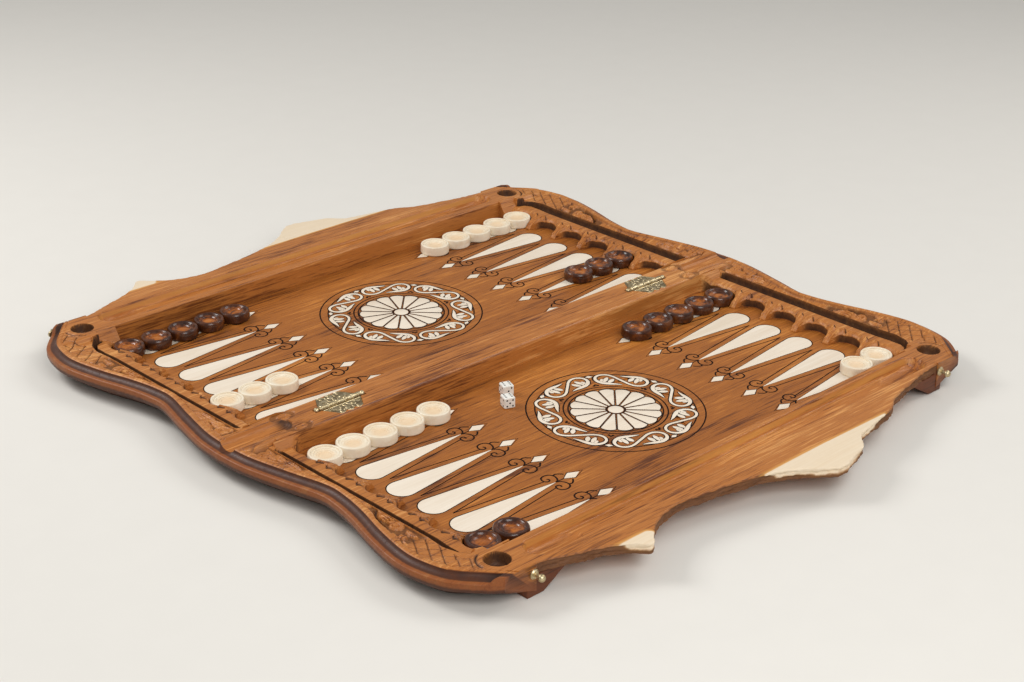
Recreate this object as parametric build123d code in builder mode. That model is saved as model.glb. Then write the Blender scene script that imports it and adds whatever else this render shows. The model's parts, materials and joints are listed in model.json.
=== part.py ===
from build123d import *
from math import hypot, radians, sin, sqrt
import os

# Carved wooden backgammon board, lying open. Millimetres, +Z up.
# X runs along the fold line, Y across it. The base half has y < 0 and carries the latch knobs,
# the lid half has y > 0 and carries the latch hooks. The board stands on z = 0.

# Board
rim_height = 27.0
field_depth = 18.6
fold_gap = 0.3
panel_recess = 1.0
panel_tongue = 6.0
hinge_rail_wall = 19.0
hinge_rail_round = 3.5
tray_side = 251.0
hinge_seam = 218.0

# Points
first_point = 46.0
last_point_room = 25.0
points_per_end = 6
inlay_thickness = 0.8
inlay_fit = 0.05
drop_radius = 12.2
drop_from_niche = 17.0
drop_tip = 124.0
diamond_back = 116.0
diamond_middle = 108.0
diamond_tip = 99.0
diamond_half_width = 4.5

# Medallion
medallion_y = 135.5
hub_radius = 6.4
petal_count = 16
petal_start = 8.6
petal_end = 36.0
petal_gap = 1.9
petal_crown = 2.0
scroll_count = 7
scroll_ring = 56.0
scroll_strip = 2.6
scroll_path = ((-20, 6), (-24, -1), (-16, -8.5), (-6, -5), (6, 5), (16, 8.5), (24, 1), (20, -6))

# End rails: the ridge runs from the fold line out to the latch face. Here x is counted from the
# hinge seam, and y is for a half of this depth
ridge_span = 286.0
ridge_shape = (
    (76.5, 0), (74.5, 28), (66.5, 66), (58.5, 100), (59, 122),
    (64, 148), (72.5, 178), (78.6, 208), (78.6, 228), (72, 252), (56, 272),
)
ridge_end = 44.0
latch_rail_width = 35.0
lip_width = 9.0
lip_drop = 5.0
lip_thickness = 7.0
cove_start_width = 4.0
cove_start_drop = 4.2
foot_setback = 10.0
foot_face_setback = 14.0
ridge_width = 4.5
dish_start = 14.0
dish_margin = 5.0
dish_step = 1.0
dish_depth = 4.5
dish_end_slope = 3.5
shelf_from_seam = 15.0
shelf_width = 27.0
shelf_depth = 7.3
shelf_margin = 2.0
cusp_slope_length = 16.0
cusp_foot_height = 5.6
niche_room = 1.0
niche_from_shelf = 2.0
slot_width = 9.0
slot_depth = 12.0
slot_start = 23.0
slot_margin = 11.0
pit_from_seam = 39.0
pit_from_tray = 13.0
pit_radius = 10.0
pit_depth = 10.0
corner_block = 22.0
edge_cove_width = 9.0
edge_cove_inset = 2.0

# Live edge of the latch rail, as distances beyond the tray: two runs counted from the rail's ends,
# and the middle run counted from the board's middle
live_edge_left = ((15, 39), (30, 45), (50, 52), (66, 61), (79, 72), (90, 63), (110, 51))
live_edge_middle = (
    (-104, 46), (-80, 49), (-44, 55.5), (-18, 63), (4, 74), (22, 89), (34, 93), (54, 88),
    (72, 82), (86, 70), (114, 64.5),
)
live_edge_right = ((100, 59), (80, 49), (50, 42), (22, 36.5))
live_edge_inset = 0.5
live_edge_thickness = 9.0
rail_foot_width = 11.0
latch_rail_round = 1.5
trough_from_tray = 19.5
trough_width = 25.0
trough_end_wall = 5.0
trough_depth = 7.0
scoop_inset = 28.0
scoop_length = 54.0
scoop_width = 19.0
scoop_depth = 3.0
leg_half_width = 8.0
leg_slope_length = 38.0

# Hinges
hinge_inset = 35.0
barrel_length = 40.0
barrel_radius = 2.8
barrel_room = 0.3
knuckle_count = 5
knuckle_gap = 0.1
pin_radius = 1.4
pin_clearance = 0.05
finial_radius = 2.3
finial_neck = 1.2
leaf_thickness = 1.2
leaf_reach = 17.0
leaf_taper = 7.0
leaf_start = 3.3
leaf_scallop = 2.6
leaf_scallops = 3
leaf_fit = 0.05
leaf_screws = ((-12.5, 8.0), (0.0, 12.0), (12.5, 8.0))
leaf_screw_radius = 0.9
leaf_screw_head = 1.8
leaf_screw_angle = 90
leaf_screw_length = 8.0

# Latches
latch_inset = 3.0
latch_height = 19.0
latch_shank_radius = 1.5
latch_shank_length = 10.0
hook_collar_radius = 3.2
hook_stand_off = 2.5
hook_thickness = 2.0
hook_play = 0.1
hook_clearance = 0.05
hook_boss_radius = 4.5
hook_length = 30.0
hook_back = 4.5
hook_front = 2.75
hook_tail_radius = 3.0
hook_notch = 2.0
hook_head_radius = 3.0
hook_head_thickness = 1.8
knob_base_radius = 4.0
knob_base_thickness = 2.0
knob_neck_end = 5.2
knob_ball_radius = 3.0

# Checkers and dice
checker_radius = 14.0
checker_height = 9.3
checker_spacing = 28.2
checker_rim = 3.2
checker_dish = 1.5
checker_ring = 4.2
checker_ring_height = 0.6
checker_round = 1.4
die_size = 10.0
die_round = 1.3
die_turn = -20.0
# Middle of each die, and the pips on its front and left faces
dice = ((-61.9, -70.8, 5, 4), (-47.0, -53.6, 3, 5))
pip_radius = 0.85
pip_spacing = 2.6
pip_sink = 0.45

field_z = rim_height - field_depth
hinge_axis_z = rim_height + fold_gap / 2
fold_edge = fold_gap / 2
shelf_front = hinge_seam + shelf_from_seam
shelf_edge = shelf_front + shelf_width
shelf_end = tray_side - shelf_margin
niche_center = shelf_front + niche_from_shelf
niche_radius = checker_radius + niche_room
drop_center = niche_center - drop_from_niche
slot_x = shelf_edge + slot_width / 2
slot_end = tray_side - slot_margin
dish_edge = shelf_edge + slot_width + dish_step
dish_end = tray_side - dish_margin
pit_x = hinge_seam + pit_from_seam
pit_y = tray_side + pit_from_tray
latch_face = tray_side + latch_rail_width
foot_face = latch_face - foot_face_setback
ridge = [(hinge_seam + x, y * latch_face / ridge_span) for x, y in ridge_shape]
corner_x = hinge_seam + ridge_end
corner_seam = hinge_seam + corner_block
edge_cove_end = corner_seam + edge_cove_inset
live_edge = [(x - corner_seam, y + tray_side) for x, y in live_edge_left]
live_edge += [(x, y + tray_side) for x, y in live_edge_middle]
live_edge += [(corner_seam - x, y + tray_side) for x, y in live_edge_right]
live_edge_end = latch_face - live_edge_inset
rail_foot = tray_side + rail_foot_width
trough_y = tray_side + trough_from_tray
trough_half_length = corner_seam - trough_end_wall
scoop_x = trough_half_length - scoop_inset
leg_outer = corner_seam + leg_half_width
leg_inner = corner_seam - leg_half_width
leg_slope_end = corner_seam - leg_slope_length
latch_x = corner_seam + latch_inset
hinge_x = hinge_seam - hinge_inset
leaf_half_foot = barrel_length / 2
leaf_half_end = leaf_half_foot - leaf_taper
tray_end = niche_center + niche_radius
panel_end = tray_end + panel_tongue
panel_side = tray_side + panel_tongue
panel_fold_side = hinge_rail_wall - panel_tongue
point_pitch = (tray_side - last_point_room - first_point) / (points_per_end - 1)
point_rows = [first_point + point_pitch * k for k in range(points_per_end)]
hook_reach = 2 * (hinge_axis_z - latch_height)

os.makedirs("parts", exist_ok=True)


# Writes one finished piece under its own name
def save(shape, name):
    shape.label = name
    export_step(shape, f"parts/{name}.step")


# Copies a piece to the left end (side -1) and to the base half (half -1)
def placed(shape, side, half):
    with BuildPart() as copy:
        add(shape)
        if side < 0:
            mirror(about=Plane.YZ, mode=Mode.REPLACE)
        if half < 0:
            mirror(about=Plane.XZ, mode=Mode.REPLACE)
    return copy.part


# The ridge line moved outward by a distance, ending at the latch face
def ridge_line(distance):
    moved = []
    for i, (x, y) in enumerate(ridge):
        x0, y0 = ridge[max(i - 1, 0)]
        x1, y1 = ridge[min(i + 1, len(ridge) - 1)]
        reach = distance / hypot(x1 - x0, y1 - y0)
        moved.append((x + (y1 - y0) * reach, y - (x1 - x0) * reach if i else y + fold_edge))
    return moved + [(corner_x + distance, latch_face)]


# Plan of an end rail whose outer side follows the ridge at a distance
def end_rail_plan(height, distance, face=latch_face):
    line = ridge_line(distance)
    line[-1] = (line[-1][0], face)
    with BuildSketch(Plane.XY.offset(height)) as plan:
        with BuildLine():
            Polyline(
                line[-1],
                (corner_seam, face),
                (corner_seam, tray_side),
                (shelf_front, tray_side),
                (shelf_front, hinge_rail_wall),
                (hinge_seam, hinge_rail_wall),
                (hinge_seam, fold_edge),
                line[0],
            )
            Spline(*line)
        make_face()
    return plan.sketch


# Plan of the hollow between ridge and shelf
def dish_plan(height, outer):
    with BuildSketch(Plane.XY.offset(height)) as plan:
        with BuildLine():
            Polyline(
                outer[-1],
                (shelf_front, outer[-1][1]),
                (shelf_front, outer[0][1]),
                outer[0],
            )
            Spline(*outer)
        make_face()
    return plan.sketch


def make_end_rail():
    lip_top = rim_height - lip_drop
    lip_bottom = lip_top - lip_thickness
    cove_start = rim_height - cove_start_drop
    dish_floor = rim_height - dish_depth
    shelf_top = rim_height - shelf_depth
    inner_ridge = [p for p in ridge_line(-ridge_width) if dish_start < p[1] < dish_end]
    dish_top = [(ridge[0][0] - ridge_width, dish_start)] + inner_ridge
    dish_top += [(ridge[-2][0] - ridge_width, dish_end)]
    dish_bottom = [(dish_edge, y) for x, y in dish_top]
    dish_bottom[0] = (dish_edge, dish_start + dish_end_slope)
    dish_bottom[-1] = (dish_edge, dish_end - dish_end_slope)
    with BuildPart() as rail:
        loft([end_rail_plan(0, -foot_setback, foot_face), end_rail_plan(lip_bottom, lip_width)], ruled=True)
        extrude(end_rail_plan(lip_bottom, lip_width), amount=lip_thickness)
        loft([end_rail_plan(lip_top, lip_width), end_rail_plan(cove_start, cove_start_width)], ruled=True)
        loft([end_rail_plan(cove_start, cove_start_width), end_rail_plan(rim_height, 0)], ruled=True)
        # the leg under the latch
        with BuildSketch():
            with Locations((corner_seam, latch_face)):
                Rectangle(leg_outer - corner_seam, latch_face - rail_foot, align=(Align.MIN, Align.MAX))
        extrude(amount=lip_top)
        # dish between ridge and shelf
        loft(
            [dish_plan(rim_height, dish_top), dish_plan(dish_floor, dish_bottom)],
            ruled=True,
            mode=Mode.SUBTRACT,
        )
        # shelf, with a round niche at the foot of each point
        with BuildSketch(Plane.XY.offset(shelf_top)):
            with Locations((shelf_front, hinge_rail_wall)):
                Rectangle(
                    shelf_edge - shelf_front, shelf_end - hinge_rail_wall, align=(Align.MIN, Align.MIN)
                )
        extrude(amount=shelf_depth, mode=Mode.SUBTRACT)
        with BuildSketch(Plane.XY.offset(field_z)):
            with Locations(*[(niche_center, y) for y in point_rows]):
                Circle(niche_radius)
                Rectangle(2 * niche_radius, 2 * niche_radius, align=(Align.MAX, Align.CENTER))
            with Locations((hinge_seam, hinge_rail_wall)):
                Rectangle(
                    niche_center - hinge_seam, point_rows[0] - hinge_rail_wall, align=(Align.MIN, Align.MIN)
                )
            with Locations((niche_center, hinge_rail_wall + niche_radius)):
                Circle(niche_radius)
        extrude(amount=field_depth, mode=Mode.SUBTRACT)
        # the cusps between the niches slope down to the field
        with BuildSketch(Plane.XZ.offset(-shelf_end)):
            with BuildLine():
                Polyline(
                    (shelf_front, shelf_top),
                    (shelf_front + cusp_slope_length, shelf_top),
                    (shelf_front, field_z + cusp_foot_height),
                    close=True,
                )
            make_face()
        extrude(amount=shelf_end - hinge_rail_wall, mode=Mode.SUBTRACT)
        with BuildSketch(Plane.XY.offset(rim_height - slot_depth)):
            with Locations((slot_x, (slot_start + slot_end) / 2)):
                SlotOverall(slot_end - slot_start, slot_width, rotation=90)
        extrude(amount=slot_depth, mode=Mode.SUBTRACT)
        with BuildSketch(Plane.XY.offset(rim_height - pit_depth)):
            with Locations((pit_x, pit_y)):
                Circle(pit_radius)
        extrude(amount=pit_depth, mode=Mode.SUBTRACT)
        # rebate under the rail for the field panel
        with BuildSketch():
            with Locations((0, panel_fold_side)):
                Rectangle(panel_end, panel_side - panel_fold_side, align=(Align.MIN, Align.MIN))
        extrude(amount=field_z, mode=Mode.SUBTRACT)
        # hole for the latch knob or for the hook's screw
        with Locations(Plane.XZ.offset(-latch_face) * Location((latch_x, latch_height))):
            Cylinder(
                latch_shank_radius + hook_clearance,
                latch_shank_length,
                align=(Align.CENTER, Align.CENTER, Align.MIN),
                mode=Mode.SUBTRACT,
            )
        # the cove turns the corner and runs in along the fold line
        with BuildSketch(Plane.XY.offset(lip_top)):
            with Locations((edge_cove_end, 0)):
                Circle(edge_cove_width)
                Rectangle(
                    ridge[0][0] + lip_width - edge_cove_end,
                    2 * edge_cove_width,
                    align=(Align.MIN, Align.CENTER),
                )
        extrude(amount=lip_drop, mode=Mode.SUBTRACT)
    return rail.part


# Plan of a hinge leaf, or of its mortise when grown: straight sides and three scallops
def leaf_plan(x, grow):
    foot = leaf_half_foot + grow
    end = leaf_half_end + grow
    end_y = leaf_reach - leaf_scallop
    with BuildSketch(Plane.XY.offset(rim_height - leaf_thickness)) as plan:
        with BuildLine():
            Polyline(
                (x + foot, 0),
                (x + foot, leaf_start),
                (x + end, end_y),
                (x - end, end_y),
                (x - foot, leaf_start),
                (x - foot, 0),
                close=True,
            )
        make_face()
        scallop_step = 2 * leaf_half_end / leaf_scallops
        with Locations((x, end_y - leaf_scallop)):
            with GridLocations(scallop_step, 0, leaf_scallops, 1):
                Circle(2 * leaf_scallop + grow)
    return plan.sketch


def make_hinge_rail():
    with BuildPart() as rail:
        with BuildSketch():
            with Locations((0, fold_edge)):
                Rectangle(2 * hinge_seam, hinge_rail_wall - fold_edge, align=(Align.CENTER, Align.MIN))
        extrude(amount=rim_height)
        with BuildSketch():
            with Locations((0, panel_fold_side)):
                Rectangle(2 * hinge_seam, hinge_rail_wall, align=(Align.CENTER, Align.MIN))
        extrude(amount=field_z, mode=Mode.SUBTRACT)
        top_edges = rail.edges().filter_by(Axis.X).group_by(Axis.Z)[-1]
        fillet(top_edges.sort_by(Axis.Y)[-1], hinge_rail_round)
        groove_length = barrel_length + 4 * finial_radius + 2 * finial_neck + 2 * barrel_room
        for x in (-hinge_x, hinge_x):
            with Locations(Location((x, 0, hinge_axis_z), (0, 90, 0))):
                Cylinder(barrel_radius + barrel_room, groove_length, mode=Mode.SUBTRACT)
            extrude(leaf_plan(x, leaf_fit), amount=leaf_thickness, mode=Mode.SUBTRACT)
            for dx, y in leaf_screws:
                with Locations((x + dx, y, rim_height - leaf_thickness)):
                    Cylinder(
                        leaf_screw_radius + leaf_fit,
                        leaf_screw_length,
                        align=(Align.CENTER, Align.CENTER, Align.MAX),
                        mode=Mode.SUBTRACT,
                    )
    return rail.part


def make_hinge_leaf(x, first_knuckle):
    pitch = barrel_length / knuckle_count
    with BuildPart() as leaf:
        extrude(leaf_plan(x, 0), amount=leaf_thickness)
        # clear the strip beside the barrel, then add this leaf's own knuckles and their webs
        with Locations((x, 0, rim_height)):
            Box(3 * leaf_half_foot, 2 * leaf_start, rim_height, mode=Mode.SUBTRACT)
        for i in range(first_knuckle, knuckle_count, 2):
            center = x - barrel_length / 2 + (i + 0.5) * pitch
            with Locations(Location((center, 0, hinge_axis_z), (0, 90, 0))):
                Cylinder(barrel_radius, pitch - knuckle_gap)
            with Locations((center, 0, rim_height)):
                Box(
                    pitch - knuckle_gap,
                    leaf_start,
                    leaf_thickness,
                    align=(Align.CENTER, Align.MIN, Align.MAX),
                )
        with Locations(Location((x, 0, hinge_axis_z), (0, 90, 0))):
            Cylinder(pin_radius + pin_clearance, 2 * barrel_length, mode=Mode.SUBTRACT)
        for dx, y in leaf_screws:
            with Locations(Location((x + dx, y, rim_height))):
                CounterSinkHole(
                    leaf_screw_radius + leaf_fit,
                    leaf_screw_head + leaf_fit,
                    leaf_thickness,
                    leaf_screw_angle,
                )
    return leaf.part


def make_hinge_pin(x):
    half = barrel_length / 2 + knuckle_gap
    with BuildPart() as pin:
        with Locations(Location((x, 0, hinge_axis_z), (0, 90, 0))):
            Cylinder(pin_radius, 2 * (half + finial_neck + finial_radius))
        for end in (-1, 1):
            with Locations((x + end * (half + finial_neck + finial_radius), 0, hinge_axis_z)):
                Sphere(finial_radius)
            with Locations(Location((x + end * (half + finial_neck / 2), 0, hinge_axis_z), (0, 90, 0))):
                Cylinder(finial_radius, finial_neck)
    return pin.part


def make_leaf_screws():
    head_depth = leaf_screw_head - leaf_screw_radius
    with BuildPart() as screws:
        for x in (-hinge_x, hinge_x):
            for dx, y in leaf_screws:
                with Locations((x + dx, y, rim_height)):
                    Cylinder(
                        leaf_screw_radius, leaf_screw_length, align=(Align.CENTER, Align.CENTER, Align.MAX)
                    )
                    Cone(
                        leaf_screw_radius,
                        leaf_screw_head,
                        head_depth,
                        align=(Align.CENTER, Align.CENTER, Align.MAX),
                    )
    return screws.part


def make_edge_rail():
    line = [(-corner_seam, live_edge_end)] + live_edge + [(corner_seam, live_edge_end)]
    edge_bottom = rim_height - live_edge_thickness

    def plan(height, outer):
        with BuildSketch(Plane.XY.offset(height)) as face:
            with BuildLine():
                Polyline(outer[-1], (corner_seam, tray_side), (-corner_seam, tray_side), outer[0])
                Spline(*outer)
            make_face()
        return face.sketch

    foot = [(x, rail_foot) for x, y in line]
    with BuildPart() as rail:
        loft([plan(0, foot), plan(edge_bottom, line)], ruled=True)
        extrude(plan(edge_bottom, line), amount=live_edge_thickness)
        # the leg's slanted inner side
        for side in (-1, 1):
            with BuildSketch(Plane.XZ.offset(-live_edge_end)):
                with BuildLine():
                    Polyline(
                        (side * leg_slope_end, edge_bottom),
                        (side * corner_seam, edge_bottom),
                        (side * corner_seam, 0),
                        (side * leg_inner, 0),
                        close=True,
                    )
                make_face()
            extrude(amount=live_edge_end - rail_foot)
        with BuildSketch():
            with Locations((0, panel_side)):
                Rectangle(2 * corner_seam, panel_side, align=(Align.CENTER, Align.MAX))
        extrude(amount=field_z, mode=Mode.SUBTRACT)
        with BuildSketch(Plane.XY.offset(rim_height - trough_depth)):
            with Locations((0, trough_y)):
                SlotOverall(2 * trough_half_length, trough_width)
        extrude(amount=trough_depth, mode=Mode.SUBTRACT)
        with BuildSketch(Plane.XY.offset(rim_height - trough_depth - scoop_depth)):
            with Locations((-scoop_x, trough_y), (scoop_x, trough_y)):
                Ellipse(scoop_length / 2, scoop_width / 2)
        extrude(amount=scoop_depth, mode=Mode.SUBTRACT)
        top_edges = rail.edges().filter_by(Axis.X).group_by(Axis.Z)[-1]
        fillet(top_edges.sort_by(Axis.Y)[0], latch_rail_round)
    return rail.part


# Teardrop and diamond of every point at one end
def point_inlay_plan(grow):
    with BuildSketch(Plane.XY.offset(field_z - inlay_thickness)) as plan:
        slope = drop_radius / (drop_center - drop_tip)
        for y in point_rows:
            with Locations((drop_center, y)):
                Circle(drop_radius + grow)
            with BuildLine():
                shift = (drop_radius + grow) * slope
                width = (drop_radius + grow) * sqrt(1 - slope * slope)
                Polyline(
                    (drop_center - shift, y + width),
                    (drop_tip - grow / slope, y),
                    (drop_center - shift, y - width),
                    close=True,
                )
            make_face()
            with BuildLine():
                Polyline(
                    (diamond_back + grow, y),
                    (diamond_middle, y + diamond_half_width + grow),
                    (diamond_tip - grow, y),
                    (diamond_middle, y - diamond_half_width - grow),
                    close=True,
                )
            make_face()
    return plan.sketch


# Rosette and ring of scrolls
def medallion_plan(grow):
    with BuildSketch(Plane.XY.offset(field_z - inlay_thickness)) as plan:
        with Locations((0, medallion_y)):
            Circle(hub_radius + grow)
        with Locations((0, medallion_y)):
            with PolarLocations(0, petal_count, start_angle=180 / petal_count):
                half = sin(radians(180 / petal_count))
                inner = petal_start * half - petal_gap / 2 + grow
                outer = petal_end * half - petal_gap / 2 + grow
                with BuildSketch(mode=Mode.PRIVATE) as petal:
                    with BuildLine():
                        Polyline((petal_start, inner), (petal_start, -inner), (petal_end, -outer))
                        ThreePointArc((petal_end, -outer), (petal_end + petal_crown, 0), (petal_end, outer))
                        Line((petal_end, outer), (petal_start, inner))
                    make_face()
                add(petal.sketch)
        with Locations((0, medallion_y)):
            with PolarLocations(scroll_ring, scroll_count, start_angle=-90):
                with BuildSketch(mode=Mode.PRIVATE) as scroll:
                    with BuildLine():
                        Spline(*[(v, u) for u, v in scroll_path])
                    trace(line_width=scroll_strip + 2 * grow)
                add(scroll.sketch)
    return plan.sketch


def make_field_panel():
    with BuildPart() as panel:
        with BuildSketch(Plane.XY.offset(panel_recess)):
            with Locations((0, panel_fold_side)):
                Rectangle(2 * panel_end, panel_side - panel_fold_side, align=(Align.CENTER, Align.MIN))
        extrude(amount=field_z - panel_recess)
        extrude(point_inlay_plan(inlay_fit), amount=inlay_thickness, mode=Mode.SUBTRACT)
        extrude(
            mirror(point_inlay_plan(inlay_fit), about=Plane.YZ, mode=Mode.PRIVATE),
            amount=inlay_thickness,
            mode=Mode.SUBTRACT,
        )
        extrude(medallion_plan(inlay_fit), amount=inlay_thickness, mode=Mode.SUBTRACT)
    return panel.part


def make_point_inlays():
    with BuildPart() as inlays:
        extrude(point_inlay_plan(0), amount=inlay_thickness)
        mirror(about=Plane.YZ)
    return inlays.part


def make_medallion():
    with BuildPart() as medallion:
        extrude(medallion_plan(0), amount=inlay_thickness)
    return medallion.part


def make_hook():
    with BuildPart() as hook:
        with BuildSketch(Plane.XZ.offset(-latch_face - hook_stand_off - hook_thickness)):
            with Locations((latch_x, latch_height)):
                Circle(hook_boss_radius)
            with Locations((latch_x, latch_height - hook_back)):
                Rectangle(hook_length, hook_back + hook_front, align=(Align.MIN, Align.MIN))
            with Locations((latch_x + hook_length, latch_height - hook_back + hook_tail_radius)):
                Circle(hook_tail_radius)
            with Locations((latch_x + hook_reach, latch_height)):
                Circle(hook_notch, mode=Mode.SUBTRACT)
                Rectangle(
                    2 * hook_notch, hook_back, align=(Align.CENTER, Align.MIN), mode=Mode.SUBTRACT
                )
            with Locations((latch_x, latch_height)):
                Circle(latch_shank_radius + hook_clearance, mode=Mode.SUBTRACT)
        extrude(amount=hook_thickness)
    return hook.part


# Turned brass pieces on the latch axis, as radius and distance from the latch face
def turned(profile, ball_center=0):
    with BuildPart() as piece:
        with BuildSketch(Plane.XY.offset(latch_height)):
            with BuildLine():
                Polyline(*[(latch_x + r, latch_face + d) for r, d in profile], close=True)
            make_face()
        revolve(axis=Axis((latch_x, 0, latch_height), (0, 1, 0)))
        if ball_center:
            with Locations((latch_x, latch_face + ball_center, latch_height)):
                Sphere(knob_ball_radius)
    return piece.part


def make_hook_screw():
    plate_front = hook_stand_off + hook_thickness
    head_start = plate_front + hook_play
    return turned((
        (0, -latch_shank_length),
        (latch_shank_radius, -latch_shank_length),
        (latch_shank_radius, 0),
        (hook_collar_radius, 0),
        (hook_collar_radius, hook_stand_off - hook_play),
        (latch_shank_radius, hook_stand_off - hook_play),
        (latch_shank_radius, head_start),
        (hook_head_radius, head_start),
        (hook_head_radius, head_start + hook_head_thickness / 2),
        (latch_shank_radius, head_start + hook_head_thickness),
        (0, head_start + hook_head_thickness),
    ))


def make_knob():
    ball_center = knob_neck_end + sqrt(knob_ball_radius ** 2 - latch_shank_radius ** 2)
    return turned((
        (0, -latch_shank_length),
        (latch_shank_radius, -latch_shank_length),
        (latch_shank_radius, 0),
        (knob_base_radius, 0),
        (knob_base_radius, knob_base_thickness / 2),
        (knob_base_radius - knob_base_thickness / 2, knob_base_thickness),
        (latch_shank_radius, knob_base_thickness),
        (latch_shank_radius, ball_center),
        (0, ball_center),
    ), ball_center)


def make_checker(x, y):
    rim_inner = checker_radius - checker_rim
    dish_z = checker_height - checker_dish
    ring_z = dish_z + checker_ring_height
    with BuildPart() as checker:
        with BuildSketch(Plane.XZ.offset(-y)):
            with BuildLine():
                Polyline(
                    (x, field_z),
                    (x + checker_radius, field_z),
                    (x + checker_radius, field_z + checker_height),
                    (x + rim_inner, field_z + checker_height),
                    (x + rim_inner - checker_dish, field_z + dish_z),
                    (x + checker_ring, field_z + dish_z),
                    (x + checker_ring - checker_ring_height, field_z + ring_z),
                    (x, field_z + ring_z),
                    close=True,
                )
            make_face()
        revolve(axis=Axis((x, y, 0), (0, 0, 1)))
        outer = checker.edges().filter_by(GeomType.CIRCLE).sort_by(lambda e: e.radius)[-2:]
        fillet(outer, checker_round)
    return checker.part


# Pips of one die face, as steps from its middle
pip_steps = {
    1: ((0, 0),),
    2: ((-1, -1), (1, 1)),
    3: ((-1, -1), (0, 0), (1, 1)),
    4: ((-1, -1), (-1, 1), (1, -1), (1, 1)),
    5: ((-1, -1), (-1, 1), (0, 0), (1, -1), (1, 1)),
    6: ((-1, -1), (-1, 0), (-1, 1), (1, -1), (1, 0), (1, 1)),
}


def make_die(x, y, front_pips, left_pips):
    half = die_size / 2
    center = Location((x, y, field_z + half), (0, 0, die_turn))
    top_pips = max(pip_steps)
    opposite = top_pips + min(pip_steps)
    faces = (
        (Plane.XY, top_pips), (Plane.XY.rotated((180, 0, 0)), opposite - top_pips),
        (Plane.XZ, front_pips), (Plane.XZ.rotated((180, 0, 0)), opposite - front_pips),
        (Plane.YZ, opposite - left_pips), (Plane.YZ.rotated((0, 180, 0)), left_pips),
    )
    with BuildPart() as die:
        Box(die_size, die_size, die_size)
        fillet(die.edges(), die_round)
        for plane, count in faces:
            with Locations(plane.offset(half + pip_sink)):
                with Locations(*[(u * pip_spacing, v * pip_spacing) for u, v in pip_steps[count]]):
                    Sphere(pip_radius, mode=Mode.SUBTRACT)
    return center * die.part


end_names = {-1: "left", 1: "right"}
half_names = {-1: "base", 1: "lid"}

edge_rail = make_edge_rail()
hinge_rail = make_hinge_rail()
field_panel = make_field_panel()
point_inlays = make_point_inlays()
medallion = make_medallion()
leaf_screw_group = make_leaf_screws()
end_rail = make_end_rail()
for half, half_name in half_names.items():
    for side, end_name in end_names.items():
        save(placed(end_rail, side, half), f"{half_name}_end_rail_{end_name}")
    save(placed(edge_rail, 1, half), f"{half_name}_latch_rail")
    save(placed(hinge_rail, 1, half), f"{half_name}_hinge_rail")
    save(placed(field_panel, 1, half), f"{half_name}_field_panel")
    save(placed(point_inlays, 1, half), f"{half_name}_point_inlays")
    save(placed(medallion, 1, half), f"{half_name}_medallion_inlay")
    save(placed(leaf_screw_group, 1, half), f"{half_name}_hinge_screws")

for side, end_name in end_names.items():
    save(make_hinge_leaf(side * hinge_x, 0), f"hinge_leaf_lid_{end_name}")
    save(placed(make_hinge_leaf(side * hinge_x, 1), 1, -1), f"hinge_leaf_base_{end_name}")
    save(make_hinge_pin(side * hinge_x), f"hinge_pin_{end_name}")
    save(placed(make_hook(), side, 1), f"latch_hook_{end_name}")
    save(placed(make_knob(), side, -1), f"latch_knob_{end_name}")

with BuildPart() as hook_screws:
    add(make_hook_screw())
    mirror(about=Plane.YZ)
save(hook_screws.part, "latch_hook_screws")

# Rows of checkers in the opening position: half, side, point from the fold line, count, colour
rows = (
    (1, -1, 5, 5, "dark"), (1, -1, 1, 3, "light"), (1, 1, 5, 5, "light"), (1, 1, 1, 3, "dark"),
    (-1, -1, 0, 5, "light"), (-1, -1, 5, 2, "dark"), (-1, 1, 0, 5, "dark"), (-1, 1, 5, 2, "light"),
)
made = {"dark": 0, "light": 0}
for half, side, point, count, colour in rows:
    for i in range(count):
        made[colour] += 1
        x = side * (niche_center - i * checker_spacing)
        save(make_checker(x, half * point_rows[point]), f"checker_{colour}_{made[colour]:02d}")

for number, die in enumerate(dice, 1):
    save(make_die(*die), f"die_{number}")
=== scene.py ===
import json
import math

import bpy
import numpy as np
from mathutils import Matrix, Vector, noise


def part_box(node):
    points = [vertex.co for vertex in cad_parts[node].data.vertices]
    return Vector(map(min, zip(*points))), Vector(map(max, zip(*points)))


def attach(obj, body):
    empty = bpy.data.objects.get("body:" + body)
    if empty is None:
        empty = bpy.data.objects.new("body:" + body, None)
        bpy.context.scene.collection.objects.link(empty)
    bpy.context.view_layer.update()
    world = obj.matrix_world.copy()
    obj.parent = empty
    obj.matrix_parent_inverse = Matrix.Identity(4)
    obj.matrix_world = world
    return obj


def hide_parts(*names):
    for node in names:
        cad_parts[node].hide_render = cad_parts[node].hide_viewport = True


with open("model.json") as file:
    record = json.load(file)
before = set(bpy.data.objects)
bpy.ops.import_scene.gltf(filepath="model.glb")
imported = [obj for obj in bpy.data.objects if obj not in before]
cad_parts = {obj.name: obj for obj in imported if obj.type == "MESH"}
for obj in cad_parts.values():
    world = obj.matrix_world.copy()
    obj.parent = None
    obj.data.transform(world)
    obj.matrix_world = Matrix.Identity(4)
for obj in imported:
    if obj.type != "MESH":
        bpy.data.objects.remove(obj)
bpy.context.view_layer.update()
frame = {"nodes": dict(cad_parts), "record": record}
print("board frame loaded:", len(frame["nodes"]), "pieces")

mm = 0.001
sides = {"left": -1, "right": 1}
halves = {"base": -1, "lid": 1}

# heights of the rim and the field, the pitch of the points and the six rows of one half, in millimetres
board = {"rim": 27.0, "field": 8.4, "pitch": 36, "rows": tuple(46 + 36 * n for n in range(6))}

# Camera
cameraView = {
    "eye": (-1.04333, -1.08416, 0.71193),
    "right": (0.72095, -0.69287, 0.01287),
    "up": (0.27934, 0.30756, 0.90960),
    "back": (-0.63419, -0.65218, 0.41528),
    "lens": 66.80,
    "sensor": 36,
}


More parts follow.
